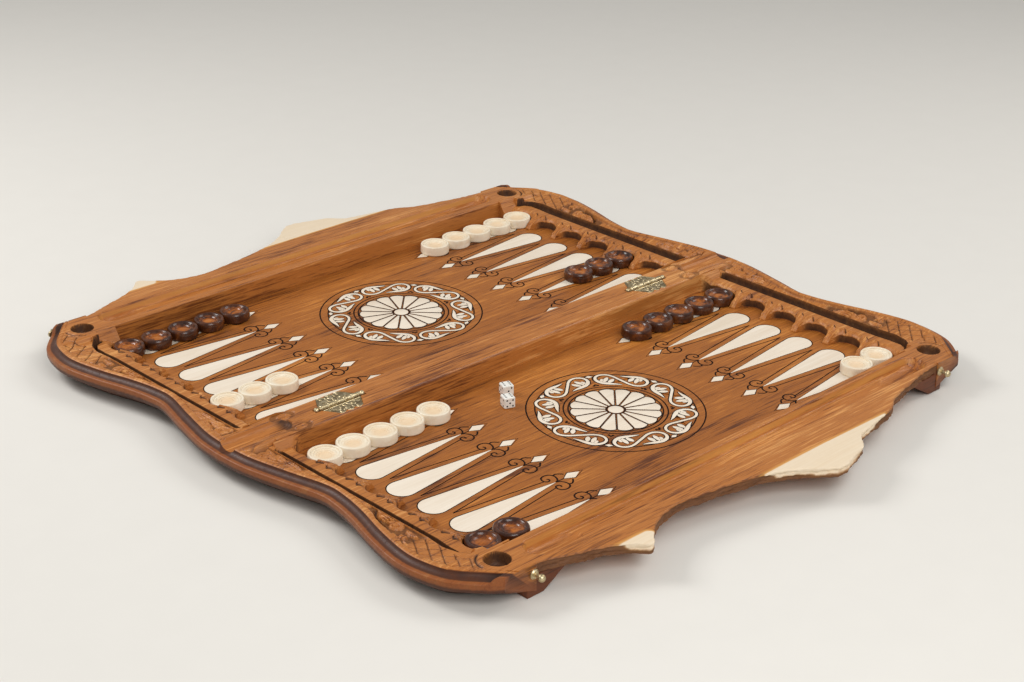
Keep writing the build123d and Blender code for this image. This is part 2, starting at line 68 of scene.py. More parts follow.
def makeCamera():
    data = bpy.data.cameras.new("photoCamera")
    data.lens = cameraView["lens"]
    data.sensor_width = cameraView["sensor"]
    data.clip_start = 0.01
    camera = bpy.data.objects.new("photoCamera", data)
    bpy.context.scene.collection.objects.link(camera)
    turn = Matrix((cameraView["right"], cameraView["up"], cameraView["back"])).transposed()
    camera.matrix_world = Matrix.Translation(cameraView["eye"]) @ turn.to_4x4()
    bpy.context.scene.camera = camera


makeCamera()


# Shader maths
def tint(colour):
    # a colour as a paint picker shows it, 0 to 255
    parts = [v / 255 for v in colour]
    return (*(v / 12.92 if v <= 0.04045 else ((v + 0.055) / 1.055) ** 2.4 for v in parts), 1)


class Signal:
    # wraps one socket, so that masks are written as plain sums

    def __init__(self, tree, socket=None):
        self.tree = tree
        self.socket = socket

    def node(self, kind, settings=None, values=None, out=0):
        made = self.tree.nodes.new(kind)
        for key, value in (settings or {}).items():
            if key == "stops":
                ramp = made.color_ramp
                while len(ramp.elements) < len(value):
                    ramp.elements.new(1)
                for stop, (place, colour) in zip(ramp.elements, value):
                    stop.position = place
                    stop.color = tint(colour)
            else:
                setattr(made, key, value)
        for key, value in (values or {}).items():
            if isinstance(value, Signal):
                self.tree.links.new(value.socket, made.inputs[key])
            else:
                made.inputs[key].default_value = value
        return Signal(self.tree, made.outputs[out])

    def maths(self, operation, *numbers):
        return self.node("ShaderNodeMath", {"operation": operation}, dict(enumerate(numbers)))

    def __add__(self, other):
        return self.maths("ADD", self, other)

    def __sub__(self, other):
        return self.maths("SUBTRACT", self, other)

    def __rsub__(self, other):
        return self.maths("SUBTRACT", other, self)

    def __mul__(self, other):
        return self.maths("MULTIPLY", self, other)

    __radd__ = __add__
    __rmul__ = __mul__

    def between(self, low, high):
        # 0 below low and 1 above high, eased
        settings = {"interpolation_type": "SMOOTHSTEP"}
        return self.node("ShaderNodeMapRange", settings, {0: self, 1: low, 2: high})

    def blended(self, first, second):
        # first where the signal is 0 and second where it is 1, each a signal, a picked colour or a mixed one
        first, second = (v if isinstance(v, Signal) or len(v) == 4 else tint(v) for v in (first, second))
        settings = {"data_type": "RGBA", "clamp_factor": True}
        return self.node("ShaderNodeMix", settings, {0: self, 6: first, 7: second}, out=2)

    def ramp(self, *stops):
        return self.node("ShaderNodeValToRGB", {"stops": stops}, {0: self})

    def noise(self, place, scale, detail, roughness, distortion=0.0, shift=(0, 0, 0)):
        # scale is one number, or three where the figure is drawn out
        if isinstance(scale, tuple):
            values = {"Vector": place, "Location": shift, "Scale": scale}
            place, scale = self.node("ShaderNodeMapping", None, values), 1.0
        values = {"Vector": place, "Scale": scale, "Detail": detail, "Roughness": roughness}
        return self.node("ShaderNodeTexNoise", None, {**values, "Distortion": distortion})

    def mark(self, name):
        # a value painted on the mesh's points
        return self.node("ShaderNodeAttribute", {"attribute_name": name}, out=2)


def newMaterial(name):
    # a material, the start of its signals, and Object coordinates
    material = bpy.data.materials.new(name)
    material.use_nodes = True
    tree = material.node_tree
    tree.nodes.clear()
    shader = tree.nodes.new("ShaderNodeBsdfPrincipled")
    output = tree.nodes.new("ShaderNodeOutputMaterial")
    tree.links.new(shader.outputs[0], output.inputs[0])
    start = Signal(tree)
    return material, start, start.node("ShaderNodeTexCoord", out=3)


def finished(material, signals, values=None, bump=None):
    # joins the signals to the shader's sockets and sets its plain values
    tree = material.node_tree
    shader = next(node for node in tree.nodes if node.type == "BSDF_PRINCIPLED")
    if bump:
        height, strength, distance = bump
        settings = {"Height": height, "Strength": strength, "Distance": distance}
        signals["Normal"] = Signal(tree).node("ShaderNodeBump", None, settings)
    for name, signal in signals.items():
        tree.links.new(signal.socket, shader.inputs[name])
    for name, value in (values or {}).items():
        shader.inputs[name].default_value = value
    return material


# Wood
woods = {
    "fieldWalnut": {
        "light": (196, 124, 52), "middle": (160, 94, 34), "dark": (92, 46, 15),
        "streaks": 0.8, "gloss": 0.36,
    },
    "legWalnut": {
        "light": (132, 72, 36), "middle": (104, 54, 27), "dark": (62, 30, 14),
        "streaks": 0.6, "gloss": 0.4,
    },
    "railWalnut": {
        "light": (216, 152, 86), "middle": (178, 110, 50), "dark": (112, 60, 25),
        "streaks": 0.9, "gloss": 0.32,
    },
    # colours of the carved rails: a dark tone for stain and painted shade in the cuts, and the painted shade
    # of the cove and of the lip
    "carved": {"stain": (44, 22, 10), "cove": (58, 29, 17), "lipShade": (126, 64, 27)},
    "live": {
        "sap": (241, 228, 206), "sapGrain": (214, 180, 132), "gold": (208, 148, 74),
        "bark": (64, 38, 24), "barkRidge": (120, 78, 46),
    },
}


def woodMaterial(name, carved=False, live=False):
    look = woods[name]
    material, start, place = newMaterial(name + ("Live" if live else "Carved" if carved else ""))
    figure = start.noise(place, (4, 58, 40), 5, 0.6, 0.9)
    streak = start.noise(place, (13, 400, 300), 4, 0.6, 0.3)
    vein = start.noise(place, (5, 130, 60), 3, 0.55, 0.6, (3, 1, 2))
    fibre = start.noise(place, (34, 950, 620), 3, 0.6)
    pore = start.noise(place, (70, 1900, 900), 2, 0.5)
    cloud = start.noise(place, 7.0, 2, 0.5)
    tone = 0.5 + (figure - 0.5) * 1.0 + (streak - 0.5) * (1.1 * look["streaks"]) + (cloud - 0.5) * 0.9
    tone = tone + (fibre - 0.5) * 1.1 - vein.between(0.58, 0.72) * 0.12
    middle = look["middle"]
    colour = tone.ramp((0.16, look["dark"]), (0.40, middle), (0.58, middle), (0.86, look["light"]))
    dashes = pore.between(0.60, 0.70)
    colour = (dashes * 0.4).blended(colour, look["dark"])
    rough = look["gloss"] + 0.16 * streak + dashes * 0.12
    height = streak * 0.35 + figure * 0.2 - dashes * 0.5
    if carved:  # stain and painted shade in the cuts, and painted shade on the rail's outer side from the cove to the underside
        tones = woods["carved"]
        stain, cove = start.mark("stain"), start.mark("cove")
        dusk = start.noise(place, 130.0, 3, 0.6)
        # painted shade: the outer side takes a darker tone from the lip down, darkest in the upper cove and
        # low on the lip
        lipShade = cove.between(0.02, 0.40)
        colour = (lipShade * (0.62 + 0.3 * dusk)).blended(colour, tones["lipShade"])
        deep = (cove + (streak - 0.5) * 0.5).between(0.5, 1.0)
        colour = (deep * (0.72 + 0.3 * dusk)).blended(colour, tones["cove"])
        colour = (stain * (0.8 + 0.4 * dusk)).between(0.05, 1.0).blended(colour, tones["stain"])
        rough = rough + stain * 0.25 + (dusk - 0.5) * 0.1 + cove * 0.06
        height = height + dusk * 0.5
    if live:  # pale sapwood towards the live edge, a painted highlight on the trough's bevels, and bark on it
        tones = woods["live"]
        sap, bark = start.mark("sap"), start.mark("bark")
        wander = (figure - 0.5) * 0.5 + (cloud - 0.5) * 0.2
        pale = (sap + wander).between(0.45, 0.62)
        cream = (0.15 + streak * 0.5).blended(tones["sap"], tones["sapGrain"])
        colour = (sap + wander).between(0.15, 0.5).blended(colour, tones["gold"])
        colour = pale.blended(colour, cream)
        rind = start.noise(place, (60, 160, 260), 5, 0.65)
        barked = (rind * 1.1).blended(tones["bark"], tones["barkRidge"])
        colour = (bark * (1 - pale) * 0.9).blended(colour, barked)
        rough = rough + bark * 0.25
        height = height + rind * bark * 3.0
    signals = {"Base Color": colour, "Roughness": rough}
    return finished(material, signals, {"Specular IOR Level": 0.36}, (height, 0.35, 0.0004))


mapleLook = {"light": (238, 225, 206), "dark": (224, 206, 182), "gloss": 0.42}
# materials with one fine speckle: its scale, detail and roughness, the span of the speckle between the first
# colour and the second, the roughness without and with it, and the bump's strength and distance
speckled = {
    "burntLine": {
        "noise": (420.0, 4, 0.6), "span": (0.3, 0.75), "colours": ((24, 12, 7), (50, 26, 14)),
        "rough": (0.7, 0.2), "bump": (0.4, 0.0003), "values": {"Specular IOR Level": 0.12},
    },
    "dieBody": {
        "noise": (300.0, 3, 0.5), "span": (0.3, 0.8), "colours": ((242, 240, 232), (226, 222, 210)),
        "rough": (0.2, 0.15), "bump": (0.06, 0.0002),
    },
    "diePip": {
        "noise": (1500.0, 3, 0.5), "span": (0.3, 0.8), "colours": ((18, 18, 20), (40, 38, 38)),
        "rough": (0.3, 0.2), "bump": (0.1, 0.0001),
    },
}


def mapleMaterial():
    material, start, place = newMaterial("mapleInlay")
    fibre = start.noise(place, (14, 500, 300), 4, 0.6, 0.3)
    figure = start.noise(place, (9, 70, 60), 3, 0.5, 0.6)
    colour = (fibre * 0.5 + figure * 0.6).between(0.35, 0.85).blended(mapleLook["light"], mapleLook["dark"])
    signals = {"Base Color": colour, "Roughness": mapleLook["gloss"] + 0.12 * fibre}
    return finished(material, signals, bump=(fibre, 0.2, 0.0003))


def speckledMaterial(name):
    look = speckled[name]
    material, start, place = newMaterial(name)
    speck = start.noise(place, *look["noise"])
    plain, added = look["rough"]
    colour = speck.between(*look["span"]).blended(*look["colours"])
    signals = {"Base Color": colour, "Roughness": plain + added * speck}
    return finished(material, signals, look.get("values"), (speck, *look["bump"]))


brassLook = {"bright": (226, 210, 172), "dull": (176, 156, 116), "patina": (96, 80, 56)}


def brassMaterial(name, relief=False):
    material, start, place = newMaterial(name)
    wear = start.noise(place, 260.0, 4, 0.6)
    spots = start.noise(place, 900.0, 3, 0.6)
    colour = wear.between(0.35, 0.7).blended(brassLook["dull"], brassLook["bright"])
    rough = 0.3 + 0.2 * spots
    metal = 1 - 0.15 * spots
    height = spots * 0.6
    if relief:  # old polish left in the ground of the pattern
        dirt = (start.mark("stain") + (wear - 0.5) * 0.5).between(0.45, 0.95) * 0.85
        colour = dirt.blended(colour, brassLook["patina"])
        rough = rough + dirt * 0.3
        metal = metal - dirt * 0.55
        height = height + spots * dirt
    signals = {"Base Color": colour, "Roughness": rough, "Metallic": metal}
    return finished(material, signals, bump=(height, 0.12, 0.0002))


checkerLook = {
    "pale": (240, 228, 205), "paleDark": (226, 203, 168), "peach": (232, 196, 152), "rim": (54, 26, 13),
    "honey": (190, 116, 44), "amber": (160, 88, 28), "brown": (88, 43, 17), "darkTone": (34, 16, 8),
}


def fromDiscCentre(start):
    # distance from the axis on the checker's own map, 0.5 at its rim
    disc = start.node("ShaderNodeTexCoord", out=2)
    return start.node("ShaderNodeVectorMath", {"operation": "DISTANCE"}, {0: disc, 1: (0.5, 0.5, 0)}, out=1)


def lightCheckerMaterial():
    material, start, place = newMaterial("lightChecker")
    fromCentre = fromDiscCentre(start)
    fibre = start.noise(place, (60, 420, 300), 4, 0.6, 0.4)
    figure = start.noise(place, (28, 90, 90), 3, 0.5, 0.8)
    tone = (fibre * 0.45 + figure * 0.6 - fromCentre * 0.25).between(0.25, 0.75)
    colour = tone.blended(checkerLook["pale"], checkerLook["paleDark"])
    colour = ((1 - fromCentre.between(0.16, 0.36)) * 0.55).blended(colour, checkerLook["peach"])
    lathed = start.noise(fromCentre * 60, 1.4, 2, 0.5)
    signals = {"Base Color": colour, "Roughness": 0.34 + 0.12 * fibre}
    return finished(material, signals, bump=(fibre * 0.3 + lathed * 0.5, 0.25, 0.0003))


def darkCheckerMaterial():
    material, start, place = newMaterial("darkChecker")
    fromCentre = fromDiscCentre(start)
    burl = start.noise(place, 78.0, 4, 0.55, 1.2)
    fleck = start.noise(place, (260, 700, 300), 4, 0.65, 0.5)
    tone = burl * 0.75 + fleck * 0.22 + (1 - fromCentre.between(0.08, 0.3)) * 0.12
    tones = zip((0.34, 0.47, 0.60, 0.76), ("darkTone", "brown", "amber", "honey"))
    colour = tone.ramp(*((place, checkerLook[name]) for place, name in tones))
    colour = (fromCentre.between(0.27, 0.40) * 0.7).blended(colour, checkerLook["rim"])
    signals = {"Base Color": colour, "Roughness": 0.22 + 0.14 * fleck}
    values = {"Coat Roughness": 0.10, "Coat Weight": 0.35, "Specular IOR Level": 0.3}
    return finished(material, signals, values, (fleck, 0.12, 0.0003))


finishes = {
    "field": woodMaterial("fieldWalnut"),
    "rail": woodMaterial("railWalnut", carved=True, live=True),
    "carved": woodMaterial("railWalnut", carved=True),
    "leg": woodMaterial("legWalnut"),
    "maple": mapleMaterial(),
    "burn": speckledMaterial("burntLine"),
    "brass": brassMaterial("turnedBrass"),
    "filigree": brassMaterial("filigreeBrass", relief=True),
    "lightChecker": lightCheckerMaterial(),
    "darkChecker": darkCheckerMaterial(),
    "die": speckledMaterial("dieBody"),
    "pip": speckledMaterial("diePip"),
}
print("finishes mixed:", len(finishes))


# Helpers for pieces
def newPiece(name, verts, edges, faces):
    mesh = bpy.data.meshes.new(name)
    mesh.from_pydata(verts, edges, faces)
    piece = bpy.data.objects.new(name, mesh)
    bpy.context.scene.collection.objects.link(piece)
    return piece


def pick(*pieces):
    # selects these pieces alone and makes the first one active
    bpy.ops.object.select_all(action="DESELECT")
    for piece in pieces:
        piece.select_set(True)
    bpy.context.view_layer.objects.active = pieces[0]


def applyAll(piece):
    pick(piece)
    bpy.ops.object.transform_apply(location=True, rotation=True, scale=True)
    for modifier in list(piece.modifiers):
        bpy.ops.object.modifier_apply(modifier=modifier.name)


def dress(piece, finish):
    piece.data.materials.clear()
    piece.data.materials.append(finishes[finish])


def softened(piece, width, segments):
    # breaks the edges of a piece by a width in millimetres
    bevel = piece.modifiers.new("softened", "BEVEL")
    bevel.width = width * mm
    bevel.segments = segments
    bevel.limit_method = "ANGLE"
    applyAll(piece)


def settle(piece, finish, body, replaced=None, degrees=35):
    # finish and smooth shading, then the body and the solid that the piece stands for
    dress(piece, finish)
    pick(piece)
    bpy.ops.object.shade_smooth_by_angle(angle=math.radians(degrees))
    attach(piece, body)
    if replaced:
        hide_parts(replaced)
    return piece


# Carving helpers, in millimetres
def eased(value, low, high):
    t = np.clip((value - low) / (high - low), 0, 1)
    return t * t * (3 - 2 * t)


def within(value, low, high):
    return (value > low) & (value < high)


def awayFrom(x, y, line):
    # distance of every point of the surface from a line of straight runs
    best = np.full(x.shape, 1e6)
    for (ax, ay), (bx, by) in zip(line[:-1], line[1:]):
        dx, dy = bx - ax, by - ay
        t = np.clip(((x - ax) * dx + (y - ay) * dy) / (dx * dx + dy * dy), 0, 1)
        best = np.minimum(best, np.hypot(x - ax - t * dx, y - ay - t * dy))
    return best


def cut(x, y, line, width, depth):
    # a round-bottomed groove along a line
    reach = awayFrom(x, y, line) / (width / 2)
    return depth * np.clip(1 - reach * reach, 0, 1)


def arcLine(cx, cy, radius, first, last, steps=14):
    turns = [math.radians(first + (last - first) * i / steps) for i in range(steps + 1)]
    return [(cx + radius * math.cos(a), cy + radius * math.sin(a)) for a in turns]


def circle(cx, cy, radius, count):
    return arcLine(cx, cy, radius, 0, 360, count)[:-1]


def volute(x, y, spec):
    # crown of a spiral scroll: 0 in its groove and outside it, 1 on its ribbon
    cx, cy, radius, turns, spin, start = spec
    eye, core = 1.6, 1.7
    dx, dy = x - cx, y - cy
    rho = np.hypot(dx, dy) + 1e-6
    around = np.mod(np.arctan2(dy, dx) * spin - math.radians(start), 2 * math.pi)
    tight = math.log(radius / eye) / turns
    arm = np.log(radius / rho) / tight - around / (2 * math.pi)
    crown = np.sin(np.pi * (arm - np.floor(arm))) ** 0.55
    crown = np.where(rho < core, 1.0, crown)
    return np.where(arm >= 0, crown, 0.0)


def leaf(x, y, spec):
    # crown of one pointed leaf with a vein: 0 outside it
    ax, ay, bx, by, width = spec
    long = math.hypot(bx - ax, by - ay)
    ux, uy = (bx - ax) / long, (by - ay) / long
    t = ((x - ax) * ux + (y - ay) * uy) / long
    off = np.abs((y - ay) * ux - (x - ax) * uy)
    half = width / 2 * np.sqrt(np.clip(np.sin(np.pi * np.clip(t, 0, 1) ** 0.8), 0, 1))
    crown = np.clip(1 - (off / np.maximum(half, 1e-3)) ** 2.5, 0, 1)
    vein = 0.45 * np.clip(1 - off / 0.55, 0, 1) * eased(t, 0.05, 0.3) * (1 - eased(t, 0.75, 0.95))
    return np.where(within(t, 0, 1), np.clip(crown ** 0.6 - vein, 0, 1), 0.0)


def highest(crowns):
    return np.maximum.reduce(list(crowns))


def smoothLine(points, steps):
    # points of a smooth line through given ones
    pts = np.array(points, float)
    full = np.vstack([2 * pts[0] - pts[1], pts, 2 * pts[-1] - pts[-2]])
    at = np.linspace(0, len(pts) - 1.000001, steps)
    i = at.astype(int)
    t = (at - i)[:, None]
    p0, p1, p2, p3 = (full[i + k] for k in range(4))
    return 0.5 * (2 * p1 + (p2 - p0) * t + (2 * p0 - 5 * p1 + 4 * p2 - p3) * t ** 2
                  + (3 * p1 - p0 - 3 * p2 + p3) * t ** 3)


def readOff(at, places, values):
    # a smooth line's value at each place
    order = np.argsort(places)
    return np.interp(at, places[order], values[order])


def column(like, *parts):
    # one more line of points along a rail: its place and its marks in every section
    return np.stack([np.broadcast_to(np.asarray(part, float), like.shape) for part in parts])


def sheetPiece(name, rings, marks, flip, capped=True):
    # a closed skin: each ring is one cross-section, and both ends are closed
    count, around = rings.shape[:2]
    i, j = np.meshgrid(np.arange(count - 1), np.arange(around), indexing="ij")
    k = (j + 1) % around
    quads = np.stack([i * around + j, (i + 1) * around + j, (i + 1) * around + k, i * around + k], -1)
    faces = quads.reshape(-1, 4).tolist()
    if capped:
        faces.append(list(range(around)))
        faces.append([(count - 1) * around + n for n in reversed(range(around))])
    if flip:
        faces = [f[::-1] for f in faces]
    piece = newPiece(name, (rings.reshape(-1, 3) * mm).tolist(), [], faces)
    for mark, values in marks.items():
        layer = piece.data.attributes.new(mark, "FLOAT", "POINT")
        layer.data.foreach_set("value", np.clip(values, 0, 1).astype(np.float32).ravel())
    return piece


# Carved end rails
endRail = {
    "ridge": (
        (294.5, 0), (292.5, 28), (284.5, 66), (276.5, 100), (277, 122), (282, 148),
        (290.5, 178), (296.6, 208), (296.6, 228), (290, 252), (274, 272),
    ),
    "cornerX": 262.0,
    "latchFace": 286.0,
    "footFace": 272.0,
    "bend": 230.0,  # where the foot starts to draw back from the latch face
    "ridgeWidth": 4.5,
    # the cove below the ridge: distance out, drop below the rim and the painted shade on it
    "coveSteps": (
        (0.12, 1.0, 1), (0.5, 2.0, 1), (1.2, 2.9, 1), (2.2, 3.7, 1), (3.4, 4.3, 1), (4.8, 4.7, 1),
        (6.4, 4.95, 0.45), (7.9, 5.05, 0.45), (8.6, 5.4, 0.45), (9.0, 6.1, 0.6), (9.0, 8.5, 0.6),
        (9.0, 10.6, 1), (8.5, 11.6, 1),
    ),
    "coveDepth": 5.05,
    "lipReach": 9.0,
    "lipLow": 15.0,
    "setback": 10.0,  # how far the foot lies inside the ridge
    "rebateX": 256.4,  # the field panel lies under the rail up to here
    "rebateY": (13, 257),
    "hingeEnd": (19.0, 218.0),  # y where each end begins, and x of its inner edge
    "latchEnd": (251.0, 240.0),
    "nicheX": 235.0,
    "nicheRadius": 15.0,
    "cornerStep": 12.0,  # a half niche beside the first one, and where the two meet
    "cornerMeet": 40.0,
    # stretches of sections besides those round the niches: first, last and count
    "stations": (
        (0.15, 8.9, 22), (9.3, 18.99, 21), (19.001, 19.001, 1), (241.05, 250.99, 15), (251.01, 286, 50),
    ),
    "dish": {"x": 269.0, "y": (14, 246.5), "deep": 3.9, "rise": 2.4},
    "shelf": {
        "z": 19.7, "y": (19, 249), "cuspEnd": 233.0, "fall": 10.6, "fallFrom": 250.5, "fallLength": 19.0,
    },
    # floor height, width, then the line of its middle from the fold end to the tip beside the pit
    "slot": (14.6, 7.1, (
        (264.5, 27.4), (264.5, 205), (265.9, 221), (264.4, 233), (260.2, 239.6), (256.5, 241.8),
        (253.0, 242.6),
    )),
    "foldCove": (242.0, 9.0, 5.0),  # where it turns in, its width and its depth
    "pit": (257.0, 264.0, 10.0, 10.0),  # middle, radius, depth
    "reach": 305.95,  # nothing of the rail lies further out
}
carving = {
    "volutes": (
        # centre x, y, radius, turns, direction, start angle
        (280.5, 29, 8.4, 1.5, 1, 200), (276.3, 177.5, 9.8, 2.1, -1, 80), (282.2, 194.6, 5.8, 1.0, 1, 250),
    ),
    "leaves": (
        # foot x, y, tip x, y, width
        (288, 17, 286, 34, 6.5), (272, 22, 279, 42, 7.5), (286, 34, 280, 52, 7.5),
        (272, 34, 276, 52, 7.0), (278, 46, 278, 64, 6.5), (272, 47, 273, 65, 5.0),
        (276, 58, 274, 76, 4.5),
        (270.6, 148, 271.2, 171, 2.6), (273.0, 150, 274.4, 169, 2.6), (275.2, 154, 277.6, 169, 2.6),
        (274.5, 188, 275.5, 202, 5.4), (286, 186, 290, 200, 4.6), (287.5, 198, 290.5, 210, 4.2),
    ),
    "zones": ((16, 68), (140, 205)),  # stretches of the dish with carved leaves
    "ground": 1.7,
    # a deep gouge beside the large scroll, its width and its depth
    "gouge": (((270.6, 149.5), (276.2, 155.5), (280.6, 164), (283.6, 176)), 4.0, 3.2),
    # between the niches, from the middle of each cusp: a chevron, its width and depth, and a leaf
    "chevron": (((249.4, 2.2), (252.7, 6.0), (249.6, 9.8)), 2.0, 1.5),
    "petal": (252.5, 6.6, 235.0, 2.4, 9.0, 1.5),
    # middle of the scroll at the fold end, its two half widths and its turns
    "foldScroll": (232.6, 11.6, 11.2, 6.9, 1.5),
    "ribbon": ((285, 22), (277, 17), (267, 14.6), (256, 14.2), (246, 14.8), (240, 17.2)),
    # lines across the corner: turn and spacing of each set, width, depth, and where they lie
    "hatch": {"sets": ((-42, 9.3), (57, 8.6)), "width": 1.5, "depth": 1.1, "y": (199, 263), "pitGap": 18.5},
    "crescent": (15.4, -66, 4, 2.6, 1.6),  # round the pit: radius, two angles, width, depth
}


def ridgeAt(y, distance):
    # x of the ridge line moved outward by a distance, at each y
    line = []
    points = endRail["ridge"]
    for i, (px, py) in enumerate(points):
        ax, ay = points[max(i - 1, 0)]
        bx, by = points[min(i + 1, len(points) - 1)]
        reach = distance / math.hypot(bx - ax, by - ay)
        line.append((px + (by - ay) * reach, py - (bx - ax) * reach if i else py))
    line.append((endRail["cornerX"] + distance, endRail["latchFace"]))
    smooth = smoothLine(line, 700)
    return readOff(y, smooth[:, 1], smooth[:, 0])


def innerEdge(y):
    # x of the rail's inner wall: hinge end, niches, cusps, latch end
    x = np.full(y.shape, endRail["shelf"]["cuspEnd"])
    r = endRail["nicheRadius"]
    for row in (board["rows"][0] - endRail["cornerStep"], *board["rows"]):
        inside = np.sqrt(np.clip(r * r - (y - row) ** 2, 0, None))
        x = np.where(np.abs(y - row) < r, np.maximum(x, endRail["nicheX"] + inside), x)
    (hingeY, hingeX), (latchY, latchX) = endRail["hingeEnd"], endRail["latchEnd"]
    return np.where(y > latchY, latchX, np.where(y < hingeY, hingeX, x))


def slotSpan(y):
    # x of the slot's middle and half its width, which narrows where it turns in towards the pit
    wide, line = endRail["slot"][1:]
    middle = np.interp(y, [p[1] for p in line], [p[0] for p in line])
    return middle, wide / 2 * (1 - 0.58 * eased(y, 220, 241))


def railStations():
    # y of the rail's sections, close together round the niches
    r, gap, meet = endRail["nicheRadius"], 0.05, endRail["cornerMeet"]
    ys = [np.linspace(*span) for span in endRail["stations"]]
    arc = r * np.sin(np.linspace(-math.pi / 2, math.pi / 2, 54))
    corner = board["rows"][0] - endRail["cornerStep"] + arc
    ys.append(corner[corner < meet])
    for row in board["rows"]:
        ys.append((row + arc)[row + arc > meet])
    for row in board["rows"][:-1]:
        ys.append(np.linspace(row + r + gap, row + board["pitch"] - r - gap, 9))
    return np.unique(np.round(np.concatenate(ys), 4))


class RailTop:
    # the carved top of a rail: place, height and darkening of every point, changed by each tool in turn; the
    # darkening is stain and painted shade

    def __init__(self, x, y, inX):
        self.x, self.y, self.inX = x, y, inX
        self.inner = ridgeAt(y, -endRail["ridgeWidth"])
        self.z = np.full(x.shape, board["rim"])
        self.stain = np.zeros(x.shape)
        self.slotMiddle, self.slotHalf = slotSpan(y)
        self.toSlot = awayFrom(x, y, endRail["slot"][2])
        self.onShelf = (x < self.slotMiddle) & within(y, *endRail["shelf"]["y"])

    # darkening of the cuts and hollows: stain and painted shade
    def darken(self, stain):
        self.stain = np.maximum(self.stain, stain)

    def groove(self, depth, stain):
        # a cut darkens with its depth: stain and painted shade
        self.z = self.z - depth
        self.darken(depth * stain)

    def dish(self):
        # the hollow border between the shelf and the ridge
        x, y, inner = self.x, self.y, self.inner
        dish = endRail["dish"]
        start, end = dish["y"]
        ends = np.minimum(eased(y, start, start + 5.5), 1 - eased(y, end - 5.5, end))
        slope = np.clip((x - dish["x"]) / np.maximum(inner - dish["x"], 0.5), 0, 1)
        hollow = dish["deep"] - dish["rise"] * slope ** 1.6 - 1.5 * (1 - eased(inner - x, 0, 1.3))
        self.z = self.z - np.where(within(x, 260, inner) & within(y, start, end), hollow * ends, 0)
        self.inDish = within(x, dish["x"] - 0.2, inner) & within(y, start, end - 0.5)
        # stain and painted shade in the crease at the foot of the ridge
        self.darken(0.3 * eased(inner - x, 0, 0.6) * (1 - eased(inner - x, 1.0, 2.4)) * self.inDish * ends)

    def shelf(self):
        # cusps fall to the field, with broken edges round the niches, and both ends run up to the rim
        y, shelf, rim = self.y, endRail["shelf"], board["rim"]
        fall = shelf["fall"] * np.clip((shelf["fallFrom"] - self.x) / shelf["fallLength"], 0, 1) ** 1.25
        crest = np.minimum(3.2, 0.3 * (shelf["z"] - fall - board["field"]))
        broken = crest * np.clip(1 - (self.x - self.inX) / 5.0, 0, 1) ** 2
        broken = broken + 0.4 * np.clip(1 - (self.toSlot - self.slotHalf) / 1.2, 0, 1) ** 2
        rise = np.maximum(rim - 1.15 * (y - 18.2), rim - 1.5 * (249.4 - y))
        self.z = np.where(
            self.onShelf, np.maximum(shelf["z"] - fall, np.minimum(rise, rim - 0.4)) - broken, self.z
        )

    def slot(self):
        # the long groove, bent in at the latch end
        y, half = self.y, self.slotHalf
        wall = eased(half + 0.35 - self.toSlot, 0, 0.7 + eased(y, 226, 238))
        wall = wall * (1 - 0.5 * eased(y, 240, 249))
        self.z = self.z - wall * np.clip(self.z - endRail["slot"][0], 0, None)
        # painted shade in the slot, over its walls and floor
        self.darken(0.8 * eased(half + 0.7 - self.toSlot, 0, 0.5))

    def palmettes(self):
        # a pair of leaves on each cusp, with a chevron behind them
        line, width, depth = carving["chevron"]
        footX, footY, tipX, tipY, wide, crown = carving["petal"]
        for row in board["rows"][:-1]:
            middle = row + board["pitch"] / 2
            for s in (-1, 1):
                chevron = [(x, middle + s * away) for x, away in line]
                self.groove(cut(self.x, self.y, chevron, width, depth) * self.onShelf, 0.55)
                spec = (footX, middle + s * footY, tipX, middle + s * tipY, wide)
                self.z = self.z + crown * leaf(self.x, self.y, spec) * self.onShelf

    def leafwork(self):
        # scrolls and leaves in the dish, on a sunk ground
        x, y = self.x, self.y
        crowns = [volute(x, y, spec) for spec in carving["volutes"]]
        crown = highest(crowns + [leaf(x, y, spec) for spec in carving["leaves"]])
        spans = carving["zones"]
        zone = highest(eased(y, low - 2, low + 5) * (1 - eased(y, high - 6, high + 4)) for low, high in spans)
        zone = zone * (self.inDish & (self.toSlot >= self.slotHalf + 0.3))
        zone = zone * (1 - eased(x, self.inner - 2.0, self.inner))
        self.z = self.z + zone * carving["ground"] * (1.35 * crown - 0.8)
        # stain and painted shade in the sunk ground between the leaves
        self.darken(zone * (1 - eased(crown, 0.02, 0.4)) * 0.62)
        line, width, depth = carving["gouge"]
        self.groove(cut(x, y, line, width, depth), 0.8 / depth)

    def lattice(self):
        # crossed lines in the corner behind the scroll
        x, y, hatch = self.x, self.y, carving["hatch"]
        low, high = hatch["y"]
        pitX, pitY = endRail["pit"][:2]
        field = eased(y, low - 3, low) * (1 - eased(y, high - 2, high + 1))
        field = field * (1 - eased(x, self.inner - 1.2, self.inner - 0.2)) * eased(x, 269.4, 270.6)
        field = field * eased(np.hypot(x - pitX, y - pitY), hatch["pitGap"] - 1.5, hatch["pitGap"])
        for turn, spacing in hatch["sets"]:
            a = math.radians(turn)
            gap = np.abs(np.mod(y * math.cos(a) - x * math.sin(a), spacing) - spacing / 2)
            line = np.clip(1 - (gap / (hatch["width"] / 2)) ** 2, 0, 1) * field
            self.groove(line * hatch["depth"], 0.8 / hatch["depth"])

    def foldEnd(self):
